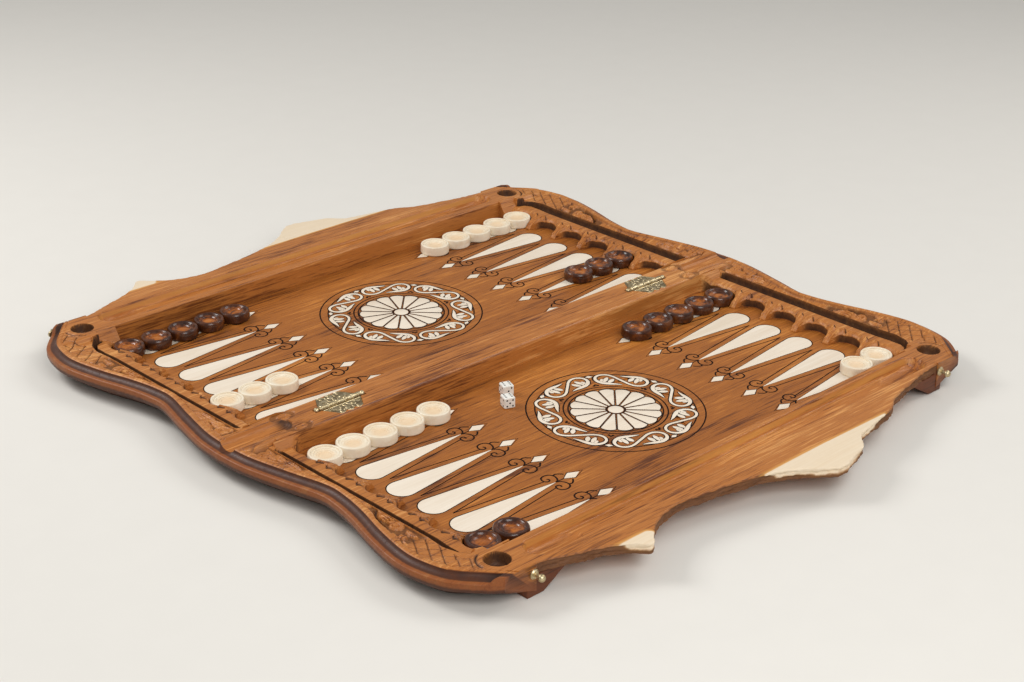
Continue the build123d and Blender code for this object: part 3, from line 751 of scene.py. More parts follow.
        # ribbon along the fold end, winding up in a scroll beside the hinge rail
        x, y = self.x, self.y
        endY, endX = endRail["hingeEnd"]
        cx, cy, wide, tall, turns = carving["foldScroll"]
        u, v = (x - cx) * tall / wide, y - cy
        fromScroll = np.hypot(u, v)
        toRibbon = awayFrom(x, y, carving["ribbon"])
        bed = np.maximum(eased(5.6 - toRibbon, 0, 2.6), eased(tall + 1.6 - fromScroll, 0, 1.6))
        bed = bed * ((y < endY) & (x > endX + 1))
        band = np.clip(1 - (toRibbon / 2.9) ** 2, 0, 1) ** 0.6
        spiral = volute(u, v, (0, 0, tall * 0.98, turns, -1, 60))
        relief = np.where(fromScroll < tall, spiral, band)
        self.z = self.z - bed * (1.4 - 1.3 * relief)
        # stain and painted shade in the sunk ground round the ribbon and scroll
        self.darken(bed * (1 - eased(relief, 0.05, 0.5)) * 0.5)
        broken = 3.4  # the rail's edge over the field is rounded
        edge = np.clip(y - (endY - broken), 0, broken) * ((y < endY) & (x < 259))
        self.z = self.z - (broken - np.sqrt(broken ** 2 - edge ** 2)) * 0.9

    def pit(self):
        # corner bowl and the crescent beside it
        pitX, pitY, pitR, pitDeep = endRail["pit"]
        toPit = np.hypot(self.x - pitX, self.y - pitY)
        bowl = pitDeep * np.clip(1 - (toPit / pitR) ** 8, 0, 1)
        self.z = np.where(toPit < pitR, board["rim"] - bowl, self.z)
        radius, first, last, width, depth = carving["crescent"]
        line = arcLine(pitX, pitY, radius, first, last)
        self.groove(cut(self.x, self.y, line, width, depth) * (toPit > pitR), 0.6)
        # painted shadow inside the bowl
        self.darken(0.76 * eased(pitR + 0.5 - toPit, 0, 0.7))

    def foldCove(self):
        # the outer cove turns in along the fold line
        turnX, wide, deep = endRail["foldCove"]
        toFold = np.where(self.x > turnX, self.y, np.hypot(self.x - turnX, self.y))
        hollow = deep * np.sqrt(np.clip(1 - (toFold / wide) ** 2.2, 0, 1))
        self.z = np.where(toFold < wide, np.minimum(self.z, board["rim"] - hollow), self.z)
        # inside the hollow the stain is replaced by a darkening towards its turned-in end
        darkTone = 0.75 * (1 - eased(self.x, turnX - 6, turnX + 7))
        self.stain = np.where(toFold < wide, darkTone, self.stain)

    def crest(self):
        # rounded crest of the ridge
        away = np.abs(self.x - ridgeAt(self.y, -endRail["ridgeWidth"] / 2))
        self.z = self.z - 0.7 * eased(away, 0.9, 2.3) * (away < 2.5) * (self.z > board["rim"] - 0.6)


def railTop(ys, inX):
    # the top is closer meshed on the shelf and the slot; near the latch face the slot's columns give way
    ridgeIn = ridgeAt(ys, -endRail["ridgeWidth"])
    middle, half = slotSpan(ys)
    slotIn = np.minimum(middle - half - 0.36, ridgeIn - 10.5)
    slotOut = np.minimum(middle + half + 0.36, ridgeIn - 1.2)
    spans = (
        (inX, slotIn, 56), (slotIn + 0.25, slotOut, 26), (slotOut + 0.3, ridgeIn, 34),
        (ridgeIn + 0.05, ridgeAt(ys, 0), 8),
    )
    x = np.hstack([np.linspace(first, last, count, axis=1) for first, last, count in spans])
    top = RailTop(x, np.repeat(ys[:, None], x.shape[1], 1), inX[:, None])
    for tool in (
        top.dish, top.shelf, top.slot, top.palmettes, top.leafwork, top.lattice, top.foldEnd, top.pit,
        top.foldCove, top.crest,
    ):
        tool()
    return np.stack([top.x, top.y, top.z, top.stain, np.zeros(x.shape)])


def endRailRings():
    ys = railStations()
    inX = innerEdge(ys)
    top = railTop(ys, inX)
    rim, field = board["rim"], board["field"]
    lines = []

    def add(*parts):
        lines.append(column(ys, *parts))

    # the cove stops short of the latch face, and takes in the hollow along the fold line
    turnX, foldWide, foldDeep = endRail["foldCove"]
    stop = 1 - eased(ys, 277.5, 282)
    low = foldDeep * np.sqrt(np.clip(1 - (ys / foldWide) ** 2.2, 0, 1))
    # the upper cove is darker towards its closed end by the latch face
    darkTone = 0.7 * eased(ys, 268, 279) * (1 - eased(ys, 281, 284))
    for away, drop, shade in endRail["coveSteps"]:
        sunk = np.maximum(drop * stop, low) if drop <= endRail["coveDepth"] else drop
        add(ridgeAt(ys, away), ys, rim - sunk, darkTone * (drop < 4.8), shade)
    # the side draws in from the lip to the foot, with painted shade on it
    bend, reach, setback = endRail["bend"], endRail["lipReach"], endRail["setback"]
    drawn = (endRail["latchFace"] - endRail["footFace"]) / (endRail["latchFace"] - bend)
    for t in np.linspace(0.04, 1, 8):
        footY = np.where(ys < bend, ys, bend + (ys - bend) * (1 - t * drawn))
        add(ridgeAt(ys, reach - (reach + setback) * t), footY, endRail["lipLow"] * (1 - t), 0.3, 0.9)
    # underside and rebate, back to the inner wall, in the lip's painted shade
    under = np.where(within(ys, *endRail["rebateY"]), endRail["rebateX"], inX)
    add((under + ridgeAt(ys, -setback)) / 2, footY, 0, 0, 0.5)
    add(under, footY, 0, 0, 0.5)
    for edge, height in ((under, field / 2), (under, field), (inX, field)):
        add(edge, ys, height, 0, 0.5)
    # inner wall up to the top, with a little painted shade, and more in each niche, darkest low down
    niche = eased(inX, 238, 246)
    for t in np.linspace(0.12, 0.9, 7):
        add(inX, ys, field + (top[2, :, 0] - field) * t, 0.05 + (0.62 + 0.2 * (1 - t)) * niche, 0)
    skin = np.concatenate([top, np.stack(lines, -1)], -1)
    skin[0] = np.minimum(skin[0], endRail["reach"])
    return np.moveaxis(skin[:3], 0, -1), {"stain": skin[3], "cove": skin[4]}


def makeEndRails():
    rings, marks = endRailRings()
    for halfName, half in halves.items():
        for endName, side in sides.items():
            name = halfName + "CarvedRail" + endName.capitalize()
            rail = sheetPiece(name, rings * np.array([side, half, 1.0]), marks, side * half > 0)
            settle(rail, "carved", halfName + "_half", f"{halfName}_end_rail_{endName}")
    print("end rails carved:", len(rings), "sections of", rings.shape[1])


makeEndRails()


# Latch rails with the live edge
latchRail = {
    "edge": (
        (-240, 285.5), (-225, 290), (-210, 296), (-190, 303), (-174, 312), (-161, 323), (-150, 314),
        (-130, 302), (-104, 297), (-80, 300), (-44, 306.5), (-18, 314), (4, 325), (22, 340), (34, 344),
        (54, 339), (72, 333), (86, 321), (114, 315.5), (140, 310), (160, 300), (190, 293), (218, 287.5),
        (240, 285.5),
    ),
    "halfLong": 240.0,
    "chipped": 232.0,  # the edge is chipped up to here from the middle
    "furthest": 343.6,
    "inner": 251.0,
    "rebate": 257.4,
    "thickness": 9.0,
    "foot": 262.0,
    "face": 283.0,
    # the trough: its middle, half its straight length, depth, and its two walls
    "trough": {
        "y": 270.5, "halfLong": 222.5, "deep": 7.0,
        "near": (257.8, 262.1), "far": (278.9, 283.2), "end": (8.4, 12.7),
    },
    "scoop": (207.0, 27.0, 9.5, 3.0),  # x of its middle, half its length, half its width, depth
    "sapPatches": ((-190, -146, 307.0), (-34, 134, 310.5)),  # first and last x, and where the sapwood starts
    "step": 1.5,
    "innerRound": 1.9,
    "outerRound": 1.4,
    "leg": ((204, 16.6), (237, 16.6), (240.5, 21.5), (248, 21.5), (248, 0), (232, 0)),
    "legDepth": (262, 285.4),
}


def lumps(xs, scale, across, seed):
    return np.array([noise.noise(Vector((x * scale, across, seed))) for x in xs])


def troughDepth(xs, y):
    # depth of the trough and its finger scoops below the rim, and how much of a scoop is here
    trough = latchRail["trough"]
    out = np.clip(np.abs(xs) - trough["halfLong"], 0, None)
    straight = eased(y, *trough["near"]) * (1 - eased(y, *trough["far"]))
    rounded = 1 - eased(np.hypot(out, y - trough["y"]), *trough["end"])
    scoopX, scoopLong, scoopWide, scoopDeep = latchRail["scoop"]
    reach = ((np.abs(xs) - scoopX) / scoopLong) ** 2 + ((y - trough["y"]) / scoopWide) ** 2
    scoop = np.sqrt(np.clip(1 - reach, 0, 1))
    return trough["deep"] * np.where(out > 0, rounded, straight) + scoopDeep * scoop, scoop


def latchRailRings():
    spec = latchRail
    rim, field = board["rim"], board["field"]
    xs = np.arange(-spec["halfLong"], spec["halfLong"] + 0.01, spec["step"])
    edge = smoothLine(spec["edge"], 1200)
    chips = 0.9 * np.clip(lumps(xs, 0.31, 7.7, 0), -0.5, 0.5) * (np.abs(xs) < spec["chipped"])
    rimY = np.minimum(readOff(xs, edge[:, 0], edge[:, 1]) - 0.5 + chips, spec["furthest"])
    wave = np.minimum(0.35 * lumps(xs, 0.09, 3.1, 0), 0)
    lines = []

    def add(y, z, sap=0.0, bark=0.0, stain=0.0):
        lines.append(column(xs, xs, y, z, sap, bark, stain))

    def sapAt(y):
        sap = np.zeros(xs.shape)
        for low, high, inner in spec["sapPatches"]:
            span = np.minimum(eased(xs, low - 4, low + 8), 1 - eased(xs, high - 8, high + 4))
            sap = np.maximum(sap, np.clip((y - inner) / 9 + 0.5, 0, 1) * span)
        return sap

    # rebate and inner wall, up to the rounded edge over the field
    inner, crest = spec["inner"], spec["innerRound"]
    for y, z in ((spec["rebate"], 0), (spec["rebate"], field), (inner, field)):
        add(y, z)
    for t in np.linspace(0.15, 1, 6):
        add(inner, field + (rim - crest - field) * t)
    for turn in (20, 45, 70, 90):
        a = math.radians(turn)
        add(inner + crest - crest * math.cos(a), rim - crest + crest * math.sin(a))
    # across the top, through the trough, with the bevels painted paler as a painted highlight, and the finger
    # scoops a little darker
    for y in np.linspace(inner + 2.3, spec["face"] + 0.6, 76):
        depth, scoop = troughDepth(xs, y)
        bevel = np.clip(depth / 1.5, 0, 1) * np.clip((6.4 - depth) / 1.5, 0, 1)
        add(y, rim - depth, 0.34 * bevel, 0, 0.25 * scoop)
    # from the trough to the live edge, and round its crest
    start, crest = spec["face"] + 0.6, spec["outerRound"]
    for t in np.linspace(0.03, 1, 30):
        y = start + (rimY - crest - start) * t
        add(y, rim - 0.25 * t + wave * t, sapAt(y))
    for turn in (25, 50, 75):
        a = math.radians(turn)
        y = rimY - crest + crest * math.sin(a)
        add(y, rim - 0.25 - crest + crest * math.cos(a), sapAt(y), 0.3)
    # side, torn and barked
    for t in np.linspace(0.08, 1, 12):
        drop = spec["thickness"] * t
        torn = 1.0 + 2.4 * lumps(xs, 0.055, drop * 0.35, 1.0) + 1.3 * lumps(xs, 0.22, drop * 0.55, 9.0)
        torn = np.clip(torn, 0, 3.4) * eased(t, 0.0, 0.35) * (np.abs(xs) < spec["chipped"] + 4)
        y = np.maximum(rimY - torn, spec["face"])
        add(y, rim - max(drop, 1.75), sapAt(y) * (1 - 0.75 * t), 1.0)
    # underside, back to the foot
    low, lastY = rim - spec["thickness"], y
    for t in np.linspace(0.07, 1, 14):
        lump = 1.4 * np.clip(lumps(xs, 0.05, t * 5, 4.0), 0, 1) * math.sin(math.pi * t)
        add(lastY + (spec["foot"] - lastY) * t, low * (1 - t) + lump, 0, 0.9 * (1 - min(t / 0.4, 1)))
    skin = np.stack(lines, -1)
    return np.moveaxis(skin[:3], 0, -1), dict(zip(("sap", "bark", "stain"), skin[3:]))


def makeLeg(halfName, half, endName, side):
    # the block under a latch: a plate pulled out to the rail's depth, its edges broken
    near, far = latchRail["legDepth"]
    outline = [(side * x * mm, half * near * mm, z * mm) for x, z in latchRail["leg"]]
    leg = newPiece(halfName + "Leg" + endName.capitalize(), outline, [], [list(range(len(outline)))])
    pick(leg)
    bpy.ops.object.mode_set(mode="EDIT")
    bpy.ops.mesh.select_all(action="SELECT")
    bpy.ops.mesh.extrude_region_move(TRANSFORM_OT_translate={"value": (0, half * (far - near) * mm, 0)})
    bpy.ops.mesh.select_all(action="SELECT")
    bpy.ops.mesh.normals_make_consistent(inside=False)
    bpy.ops.object.mode_set(mode="OBJECT")
    softened(leg, 0.7, 3)
    settle(leg, "leg", halfName + "_half")


def makeLatchRails():
    rings, marks = latchRailRings()
    for halfName, half in halves.items():
        rail = sheetPiece(halfName + "LiveEdgeRail", rings * np.array([1.0, half, 1.0]), marks, half < 0)
        settle(rail, "rail", halfName + "_half", halfName + "_latch_rail")
        for endName, side in sides.items():
            makeLeg(halfName, half, endName, side)
    print("latch rails shaped:", len(rings), "sections of", rings.shape[1])


makeLatchRails()

# solids that need a finish alone
plainNodes = {"hinge_rail": "rail", "field_panel": "field", "point_inlays": "maple", "hinge_screws": "brass"}
for halfName in halves:
    for node, finish in plainNodes.items():
        dress(frame["nodes"][f"{halfName}_{node}"], finish)
for endName in sides:
    for node in ("hinge_pin", "latch_hook", "latch_knob"):
        dress(frame["nodes"][f"{node}_{endName}"], "brass")
dress(frame["nodes"]["latch_hook_screws"], "brass")


# Burnt lines on the field
fieldLines = {
    "widths": {"Scrolls": 3.0, "Arches": 2.0, "Outlines": 1.8},
    "flat": 0.22,  # height of a line as a share of its width
    "proud": 0.05,
    # one scroll beside a teardrop's tip, from the stem inwards, and the lobe between it and the gem
    "scroll": (
        (124.6, -0.4), (121.2, 1.8), (119.3, 5.4), (119.2, 8.8), (121.2, 11.9), (125.2, 13.2),
        (129.2, 11.8), (131.0, 8.2), (129.8, 5.0), (127.0, 4.6), (125.8, 6.6), (126.8, 8.2),
    ),
    "lobe": ((119.0, 8.8), (116.6, 9.4), (114.0, 8.0), (111.2, 5.0)),
    "apexX": 215.0,  # two arches meet here between the points, and end beside each stem
    "meet": (130.6, 6.4),
    "drop": (218.0, 12.2, 124.0),  # a teardrop's round end, its radius, and its tip
    "diamond": (116.0, 108.0, 99.0, 4.5),  # back, middle and front, and half its width
}


def lineStrip(name, lines, width, body, top):
    # smooth burnt strips of one width, made as round closed lines and flattened on the field
    curve = bpy.data.curves.new(name, "CURVE")
    curve.dimensions = "3D"
    curve.bevel_depth = width / 2 * mm
    curve.bevel_resolution = 1
    curve.resolution_u = 1
    curve.use_fill_caps = True
    for points, closed in lines:
        spline = curve.splines.new("POLY")
        spline.points.add(len(points) - 1)
        for target, (x, y) in zip(spline.points, points):
            target.co = (x * mm, y * mm, 0, 1)
        spline.use_cyclic_u = closed
    drawn = bpy.data.objects.new(name, curve)
    bpy.context.scene.collection.objects.link(drawn)
    pick(drawn)
    bpy.ops.object.convert(target="MESH")
    strip = bpy.context.object
    strip.scale.z = fieldLines["flat"]
    strip.location.z = (top - width / 2 * fieldLines["flat"]) * mm
    applyAll(strip)
    settle(strip, "burn", body, degrees=60)


def pointLines(row):
    # scrolls, arches and outlines of one point, each with whether it is closed
    spec = fieldLines
    dropX, dropR, tipX = spec["drop"]
    backX, midX, frontX, wide = spec["diamond"]
    meetX, meetAway = spec["meet"]
    lift = math.degrees(math.asin(dropR / (dropX - tipX)))
    drop = [(tipX - 2.5, row)] + arcLine(dropX, row, dropR + 0.3, -90 - lift, 90 + lift, 32)
    gem = [(backX + 0.5, row), (midX, row + wide + 0.5), (frontX - 3.5, row), (midX, row - wide - 0.5)]
    stem = [(tipX - 2, row), (backX, row)]
    drawn = {"Scrolls": [], "Arches": [(stem, False)], "Outlines": [(drop, True), (gem, True)]}
    for s in (-1, 1):
        arch = [(spec["apexX"], row + s * board["pitch"] / 2), (meetX, row + s * meetAway)]
        drawn["Arches"].append((arch, False))
        for hand, steps in ((spec["scroll"], 40), (spec["lobe"], 10)):
            drawn["Scrolls"].append(([(x, row + s * away) for x, away in smoothLine(hand, steps)], False))
    return drawn


medallion = {
    "y": 135.5,
    "rings": (74.5, 67.0, 43.5, 39.5, 7.4),
    "ringWidth": 1.8,
    "hub": 6.4,
    "petals": 16,
    "petal": (8.8, 36.0, 1.9, 2.0),  # start, end, gap, crown
    "scrolls": 7,
    "scrollAt": 56.2,
    # line of half a scroll from its tip to its middle, with widths
    "spine": (
        (1.5, 8.2, 0.5), (-4, 7.9, 2.3), (-10, 8.0, 3.6), (-16, 7.3, 3.7), (-20.8, 4.0, 3.1),
        (-22.6, -0.8, 2.5), (-21.2, -5.4, 2.3), (-17.4, -8.2, 2.3), (-12.4, -8.5, 2.3),
        (-7.6, -6.3, 2.3), (-3.6, -3.0, 2.3), (0, 0, 2.3),
    ),
    # leaves in half a scroll: foot, tip, width
    "fans": ((-14.5, 6.6, -12.2, -3.8, 4.0), (-10.5, 6.6, -6.6, -1.4, 4.2), (-16.6, 5.6, -16.4, 0.2, 3.2)),
    "gem": (64.6, 3.4, 2.0),  # between two scrolls: its distance out, half its length, half its width
    "dots": ((0, 48.5), (1.7, 47.0), (-1.7, 47.0)),
    "dot": 1.25,
    # faces and feet of the inlay and of the burnt ground, from the field
    "inlay": (0.16, -0.5),
    "ground": (0.07, -0.3),
    "ringTop": 0.11,
}


def turnedBy(degrees, points):
    c, s = math.cos(math.radians(degrees)), math.sin(math.radians(degrees))
    return [(u * c - v * s, u * s + v * c) for u, v in points]


def ribbonOutline(extra=0.0):
    # outline of a whole scroll, half of it turned about its middle
    spine = smoothLine(medallion["spine"], 60)
    line = np.vstack([spine, spine[::-1][1:] * np.array([-1, -1, 1])])
    along = np.gradient(line[:, :2], axis=0)
    along /= np.maximum(np.hypot(*along.T), 1e-9)[:, None]
    away = np.stack([-along[:, 1], along[:, 0]], -1) * (line[:, 2] / 2 + extra)[:, None]
    return np.vstack([line[:, :2] + away, (line[:, :2] - away)[::-1]]).tolist()


def leafOutline(ends, width, extra=0.0):
    ax, ay, bx, by = ends
    long = math.hypot(bx - ax, by - ay)
    ux, uy = (bx - ax) / long, (by - ay) / long
    left, right = [], []
    for t in np.linspace(0, 1, 13):
        half = width / 2 * math.sin(math.pi * min(t * 0.92 + 0.04, 1) ** 1.15) ** 0.7 + extra
        px, py = ax + (bx - ax) * t, ay + (by - ay) * t
        left.append((px - uy * half, py + ux * half))
        right.append((px + uy * half, py - ux * half))
    return left + right[::-1]


def petalOutline(back=0.0, foot=0.0, flank=0.0, tip=0.0):
    # one petal along x from the hub, and the burnt ground under it wider by the four values
    start, end, gap, crown = medallion["petal"]
    wedge = math.sin(math.pi / medallion["petals"])
    near, far = start * wedge - gap / 2 + foot, end * wedge - gap / 2 + flank
    bow = [(end + tip + crown * (1 - t * t), far * t * 0.96) for t in np.linspace(-1, 1, 9)]
    return [(start - back, near), (start - back, -near), (end - 1, -far), *bow, (end - 1, far)]


def flatPiece(name, outlines, top, low):
    # low tiles with upright sides, their faces up
    verts, faces = [], []
    for outline in outlines:
        base, n = len(verts), len(outline)
        ends = zip(outline, outline[1:] + outline[:1])
        if sum(ax * by - bx * ay for (ax, ay), (bx, by) in ends) < 0:
            outline = outline[::-1]
        for z in (low, top):
            verts += [(x * mm, y * mm, z * mm) for x, y in outline]
        for i in range(n):
            k = (i + 1) % n
            faces.append((base + i, base + k, base + n + k, base + n + i))
        faces.append([base + i for i in reversed(range(n))])
        faces.append([base + n + i for i in range(n)])
    return newPiece(name, verts, [], faces)


def makeMedallion(halfName, half):
    spec = medallion
    body = halfName + "_half"
    cy, z = spec["y"], board["field"]
    pale, dark = [circle(0, half * cy, spec["hub"], 40)], []
    for n in range(spec["petals"]):
        for target, outline in ((pale, petalOutline()), (dark, petalOutline(1, 0.5, 0.8, 0.9))):
            petal = turnedBy(360 / spec["petals"] * (n + 0.5), outline)
            target.append([(x, half * cy + y) for x, y in petal])

    def put(target, turn, mirrored, outline):
        # outlines with x along the ring and y outwards, turned to their place from the fold side
        turned = turnedBy(turn, [(x * mirrored, y) for x, y in outline])
        target.append([(x, half * (cy - y)) for x, y in turned])

    for n in range(spec["scrolls"]):
        # the scrolls run from the fold side both ways
        turn = 360 / spec["scrolls"] * (n if n <= 3 else n - spec["scrolls"])
        for target, grown, grownLeaf in ((pale, 0.0, 0.0), (dark, 0.95, 0.75)):
            shapes = [ribbonOutline(grown)]
            for flip in (1, -1):
                for *ends, width in spec["fans"]:
                    shapes.append(leafOutline([flip * v for v in ends], width, grownLeaf))
            for outline in shapes:
                put(target, turn, -1 if n > 3 else 1, [(x, y + spec["scrollAt"]) for x, y in outline])
        turn += 180 / spec["scrolls"]
        at, long, wide = spec["gem"]
        for target, more, side in ((pale, 0.0, 0.0), (dark, 1.3, 0.8)):
            gem = [(-long - more, at), (0, at - wide - side), (long + more, at), (0, at + wide + side)]
            put(target, turn, 1, gem)
        for x, y in spec["dots"]:
            put(dark, turn, 1, circle(x, y, spec["dot"], 8))
    inlay = flatPiece(halfName + "MedallionInlay", pale, *(z + step for step in spec["inlay"]))
    softened(inlay, 0.05, 2)
    settle(inlay, "maple", body, halfName + "_medallion_inlay")
    ground = flatPiece(halfName + "MedallionBurn", dark, *(z + step for step in spec["ground"]))
    settle(ground, "burn", body)
    hoops = [(circle(0, half * cy, radius, 120), True) for radius in spec["rings"]]
    lineStrip(halfName + "MedallionRings", hoops, spec["ringWidth"], body, z + spec["ringTop"])


def makeFieldLines():
    for halfName, half in halves.items():
        for name, width in fieldLines["widths"].items():
            lines = []
            for side in sides.values():
                for row in board["rows"]:
                    for points, closed in pointLines(row)[name]:
                        lines.append(([(side * x, half * y) for x, y in points], closed))
            top = board["field"] + fieldLines["proud"]
            lineStrip(halfName + "Point" + name, lines, width, halfName + "_half", top)
        makeMedallion(halfName, half)
    print("field lines and medallions laid")


makeFieldLines()


# Filigree hinges
hinge = {
    "x": 183.0, "axisZ": 27.15, "top": 26.98, "low": 25.85,
    "foot": 20.0, "end": 13.0, "reach": 17.0, "start": 3.05, "scallop": 2.6, "relief": 0.62, "rimWidth": 0.6,
    # centre, radius, direction and start angle of each scroll, and foot, tip and width of each pair of leaves
    "volutes": (
        (-8.6, 8.2, 3.4, 1, 30), (8.6, 8.2, 3.4, -1, 30), (0, 11.4, 3.2, 1, 90), (-14.6, 6.0, 2.1, -1, 0),
        (14.6, 6.0, 2.1, 1, 0),
    ),
    "leaves": (
        (0, 4, 0, 9, 3), (3, 4, 5.6, 9.4, 2.2), (11, 4, 12.5, 8, 1.8), (8.6, 12, 8.6, 16, 2.6),
        (4.4, 11, 4.6, 14.2, 1.6), (0, 14, 0, 16.6, 2.0),
    ),
    "barrel": 40.0, "knuckles": 5, "radius": 2.42, "bore": 1.46, "gap": 0.06,
    "bead": (0.82, 0.12, 0.2),  # place and width as shares of half a knuckle, and height
    "web": (26.9, 25.9),
}


def hingeReach(x):
    # the leaf's scalloped outline: how far it reaches from the axis at each x
    spec = hinge
    endY = spec["reach"] - spec["scallop"]
    y = endY - (np.abs(x) - spec["end"]) * (endY - spec["start"]) / (spec["foot"] - spec["end"])
    y = np.where(np.abs(x) < spec["end"], endY, y)
    step = 2 * spec["end"] / 3
    for middle in (-step, 0, step):
        inside = (2 * spec["scallop"]) ** 2 - (x - middle) ** 2
        scallop = endY - spec["scallop"] + np.sqrt(np.clip(inside, 0, None))
        y = np.where(inside > 0, np.maximum(y, scallop), y)
    return np.maximum(y, spec["start"] + 0.3)


def leafPlate(name, middleX, half):
    # one leaf of a hinge, its pattern standing up from the ground
    spec = hinge
    xs = np.linspace(-spec["foot"] + 0.05, spec["foot"] - 0.05, 150)
    far = hingeReach(xs)[:, None]
    v = spec["start"] + (far - spec["start"]) * np.linspace(0, 1, 52)
    u = np.repeat(xs[:, None], v.shape[1], 1)
    border = np.minimum(np.minimum(far - v, v - spec["start"]), (spec["foot"] - np.abs(u)) * 0.85)
    crowns = [volute(u, v, (x, y, r, 1.1, spin, start)) for x, y, r, spin, start in spec["volutes"]]
    for ax, ay, bx, by, width in spec["leaves"]:
        crowns += [leaf(u, v, (s * ax, ay, s * bx, by, width)) for s in (-1, 1)]
    crowns.append(np.clip(1 - np.abs(border - 0.55) / spec["rimWidth"], 0, 1))
    crown = highest(crowns)
    z = spec["top"] - spec["relief"] * (1 - crown) - 0.25 * np.clip(1 - border / 0.2, 0, 1)
    top = np.stack([u + middleX, v * half, z])
    foot = top[:, :, [-1, 0]]  # the two lower edges
    foot[2] = spec["low"]
    stain = 1 - eased(crown, 0.15, 0.7)
    stain = np.hstack([stain, np.full((len(xs), 2), 0.6)])
    return sheetPiece(name, np.moveaxis(np.concatenate([top, foot], -1), 0, -1), {"stain": stain}, half < 0)


def knuckle(name, middle, half):
    # one turned knuckle with a bead near each end, and the web that joins it to the leaf
    spec = hinge
    long = spec["barrel"] / spec["knuckles"] / 2 - spec["gap"]
    place, width, high = spec["bead"]
    profile = []
    for t in np.linspace(-1, 1, 23):
        bead = high * math.exp(-((abs(t) - place) / width) ** 2)
        profile.append((t * long, spec["radius"] + bead - (0.25 if abs(t) > 0.97 else 0)))
    profile = [(-long, spec["bore"]), *profile, (long, spec["bore"]), (-long, spec["bore"])]
    a = np.linspace(0, 2 * math.pi, 32, endpoint=False)
    rows = [[a * 0 + middle + dx, r * np.sin(a), spec["axisZ"] + r * np.cos(a)] for dx, r in profile]
    rings = np.moveaxis(np.array(rows), 1, -1)
    tube = sheetPiece(name + "Knuckle", rings, {"stain": np.zeros(rings.shape[:2])}, False, capped=False)
    near, far = half * 0.9, half * (spec["start"] + 0.4)
    plan = [(middle - long, near), (middle + long, near), (middle + long, far), (middle - long, far)]
    return [tube, flatPiece(name + "Web", [plan], *spec["web"])]


def makeHingeLeaf(endName, side, halfName, half):
    spec = hinge
    name = halfName + "HingeLeaf" + endName.capitalize()
    made = [leafPlate(name, side * spec["x"], half)]
    pitch = spec["barrel"] / spec["knuckles"]
    for i in range(0 if half > 0 else 1, spec["knuckles"], 2):  # the halves take turns along the barrel
        made += knuckle(name + str(i), side * spec["x"] - spec["barrel"] / 2 + (i + 0.5) * pitch, half)
    pick(*made)
    bpy.ops.object.join()
    settle(made[0], "filigree", halfName + "_half", f"hinge_leaf_{halfName}_{endName}")


for endName, side in sides.items():
    for halfName, half in halves.items():
        makeHingeLeaf(endName, side, halfName, half)
print("hinges chased")


# Checkers
checkerShape = {
    "steps": 56,
    "across": 28.0,
    "count": 15,
    # turned outlines: distance from the axis and height
    "light": (
        (0, 0.07), (12.6, 0.07), (13.5, 0.35), (14.0, 1.2), (14.0, 4.6), (13.98, 7.9), (13.75, 8.8),
        (13.3, 9.2), (12.7, 9.3), (12.2, 9.25), (11.8, 9.0), (11.6, 8.55), (11.5, 8.0), (10.9, 7.9),
        (9.3, 7.85), (9.1, 7.45), (8.8, 7.35), (7.2, 7.3), (7.0, 6.95), (6.7, 6.85), (5.2, 6.8),
        (5.0, 6.5), (4.7, 6.4), (2.6, 6.35), (0, 6.3),
    ),
    "dark": (
        (0, 0.07), (12.4, 0.07), (13.4, 0.4), (14.0, 1.4), (14.0, 4.6), (13.95, 6.9), (13.6, 8.3),
        (12.9, 9.1), (12.1, 9.3), (11.2, 9.2), (10.4, 8.7), (9.9, 7.9), (9.5, 7.5), (9.0, 7.6),
        (8.4, 7.9), (7.6, 7.9), (6.9, 7.6), (6.4, 7.0), (5.8, 6.7), (4.8, 6.7), (4.0, 6.9), (3.0, 7.2),
        (1.6, 7.35), (0, 7.4),
    ),
}


def turnedChecker(colour):
    # a checker's outline spun about its axis, with its plan as the map
    points = [(r * mm, 0, z * mm) for r, z in checkerShape[colour]]
    piece = newPiece(colour + "CheckerModel", points, [(i, i + 1) for i in range(len(points) - 1)], [])
    pick(piece)
    bpy.ops.object.mode_set(mode="EDIT")
    bpy.ops.mesh.select_all(action="SELECT")
    bpy.ops.mesh.spin(steps=checkerShape["steps"], angle=2 * math.pi, center=(0, 0, 0), axis=(0, 0, 1))
    bpy.ops.mesh.select_all(action="SELECT")
    bpy.ops.mesh.remove_doubles(threshold=0.00001)
    bpy.ops.mesh.normals_make_consistent(inside=False)
    bpy.ops.object.mode_set(mode="OBJECT")
    plan = piece.data.uv_layers.new(name="plan")
    across = checkerShape["across"] * mm
    for loop, uv in zip(piece.data.loops, plan.data):
        co = piece.data.vertices[loop.vertex_index].co
        uv.uv = (0.5 + co.x / across, 0.5 + co.y / across)
    return piece


def makeCheckers(colour):
    model = turnedChecker(colour)
    bodies = frame["record"]["behaviour"]["bodies"]
    for n in range(1, checkerShape["count"] + 1):
        node = f"checker_{colour}_{n:02d}"
        low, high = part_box(node)
        checker = model.copy()
        checker.data = model.data.copy()
        checker.name = f"{colour}Checker{n:02d}"
        bpy.context.scene.collection.objects.link(checker)
        turn = Matrix.Rotation(n * 2.1, 4, "Z")  # so that no two show the same figure
        checker.data.transform(Matrix.Translation(((low.x + high.x) / 2, (low.y + high.y) / 2, low.z)) @ turn)
        body = next(b for b, members in bodies.items() if node in members)
        settle(checker, colour + "Checker", body, node, degrees=30)
    bpy.data.objects.remove(model)


makeCheckers("light")
makeCheckers("dark")
print("checkers turned")


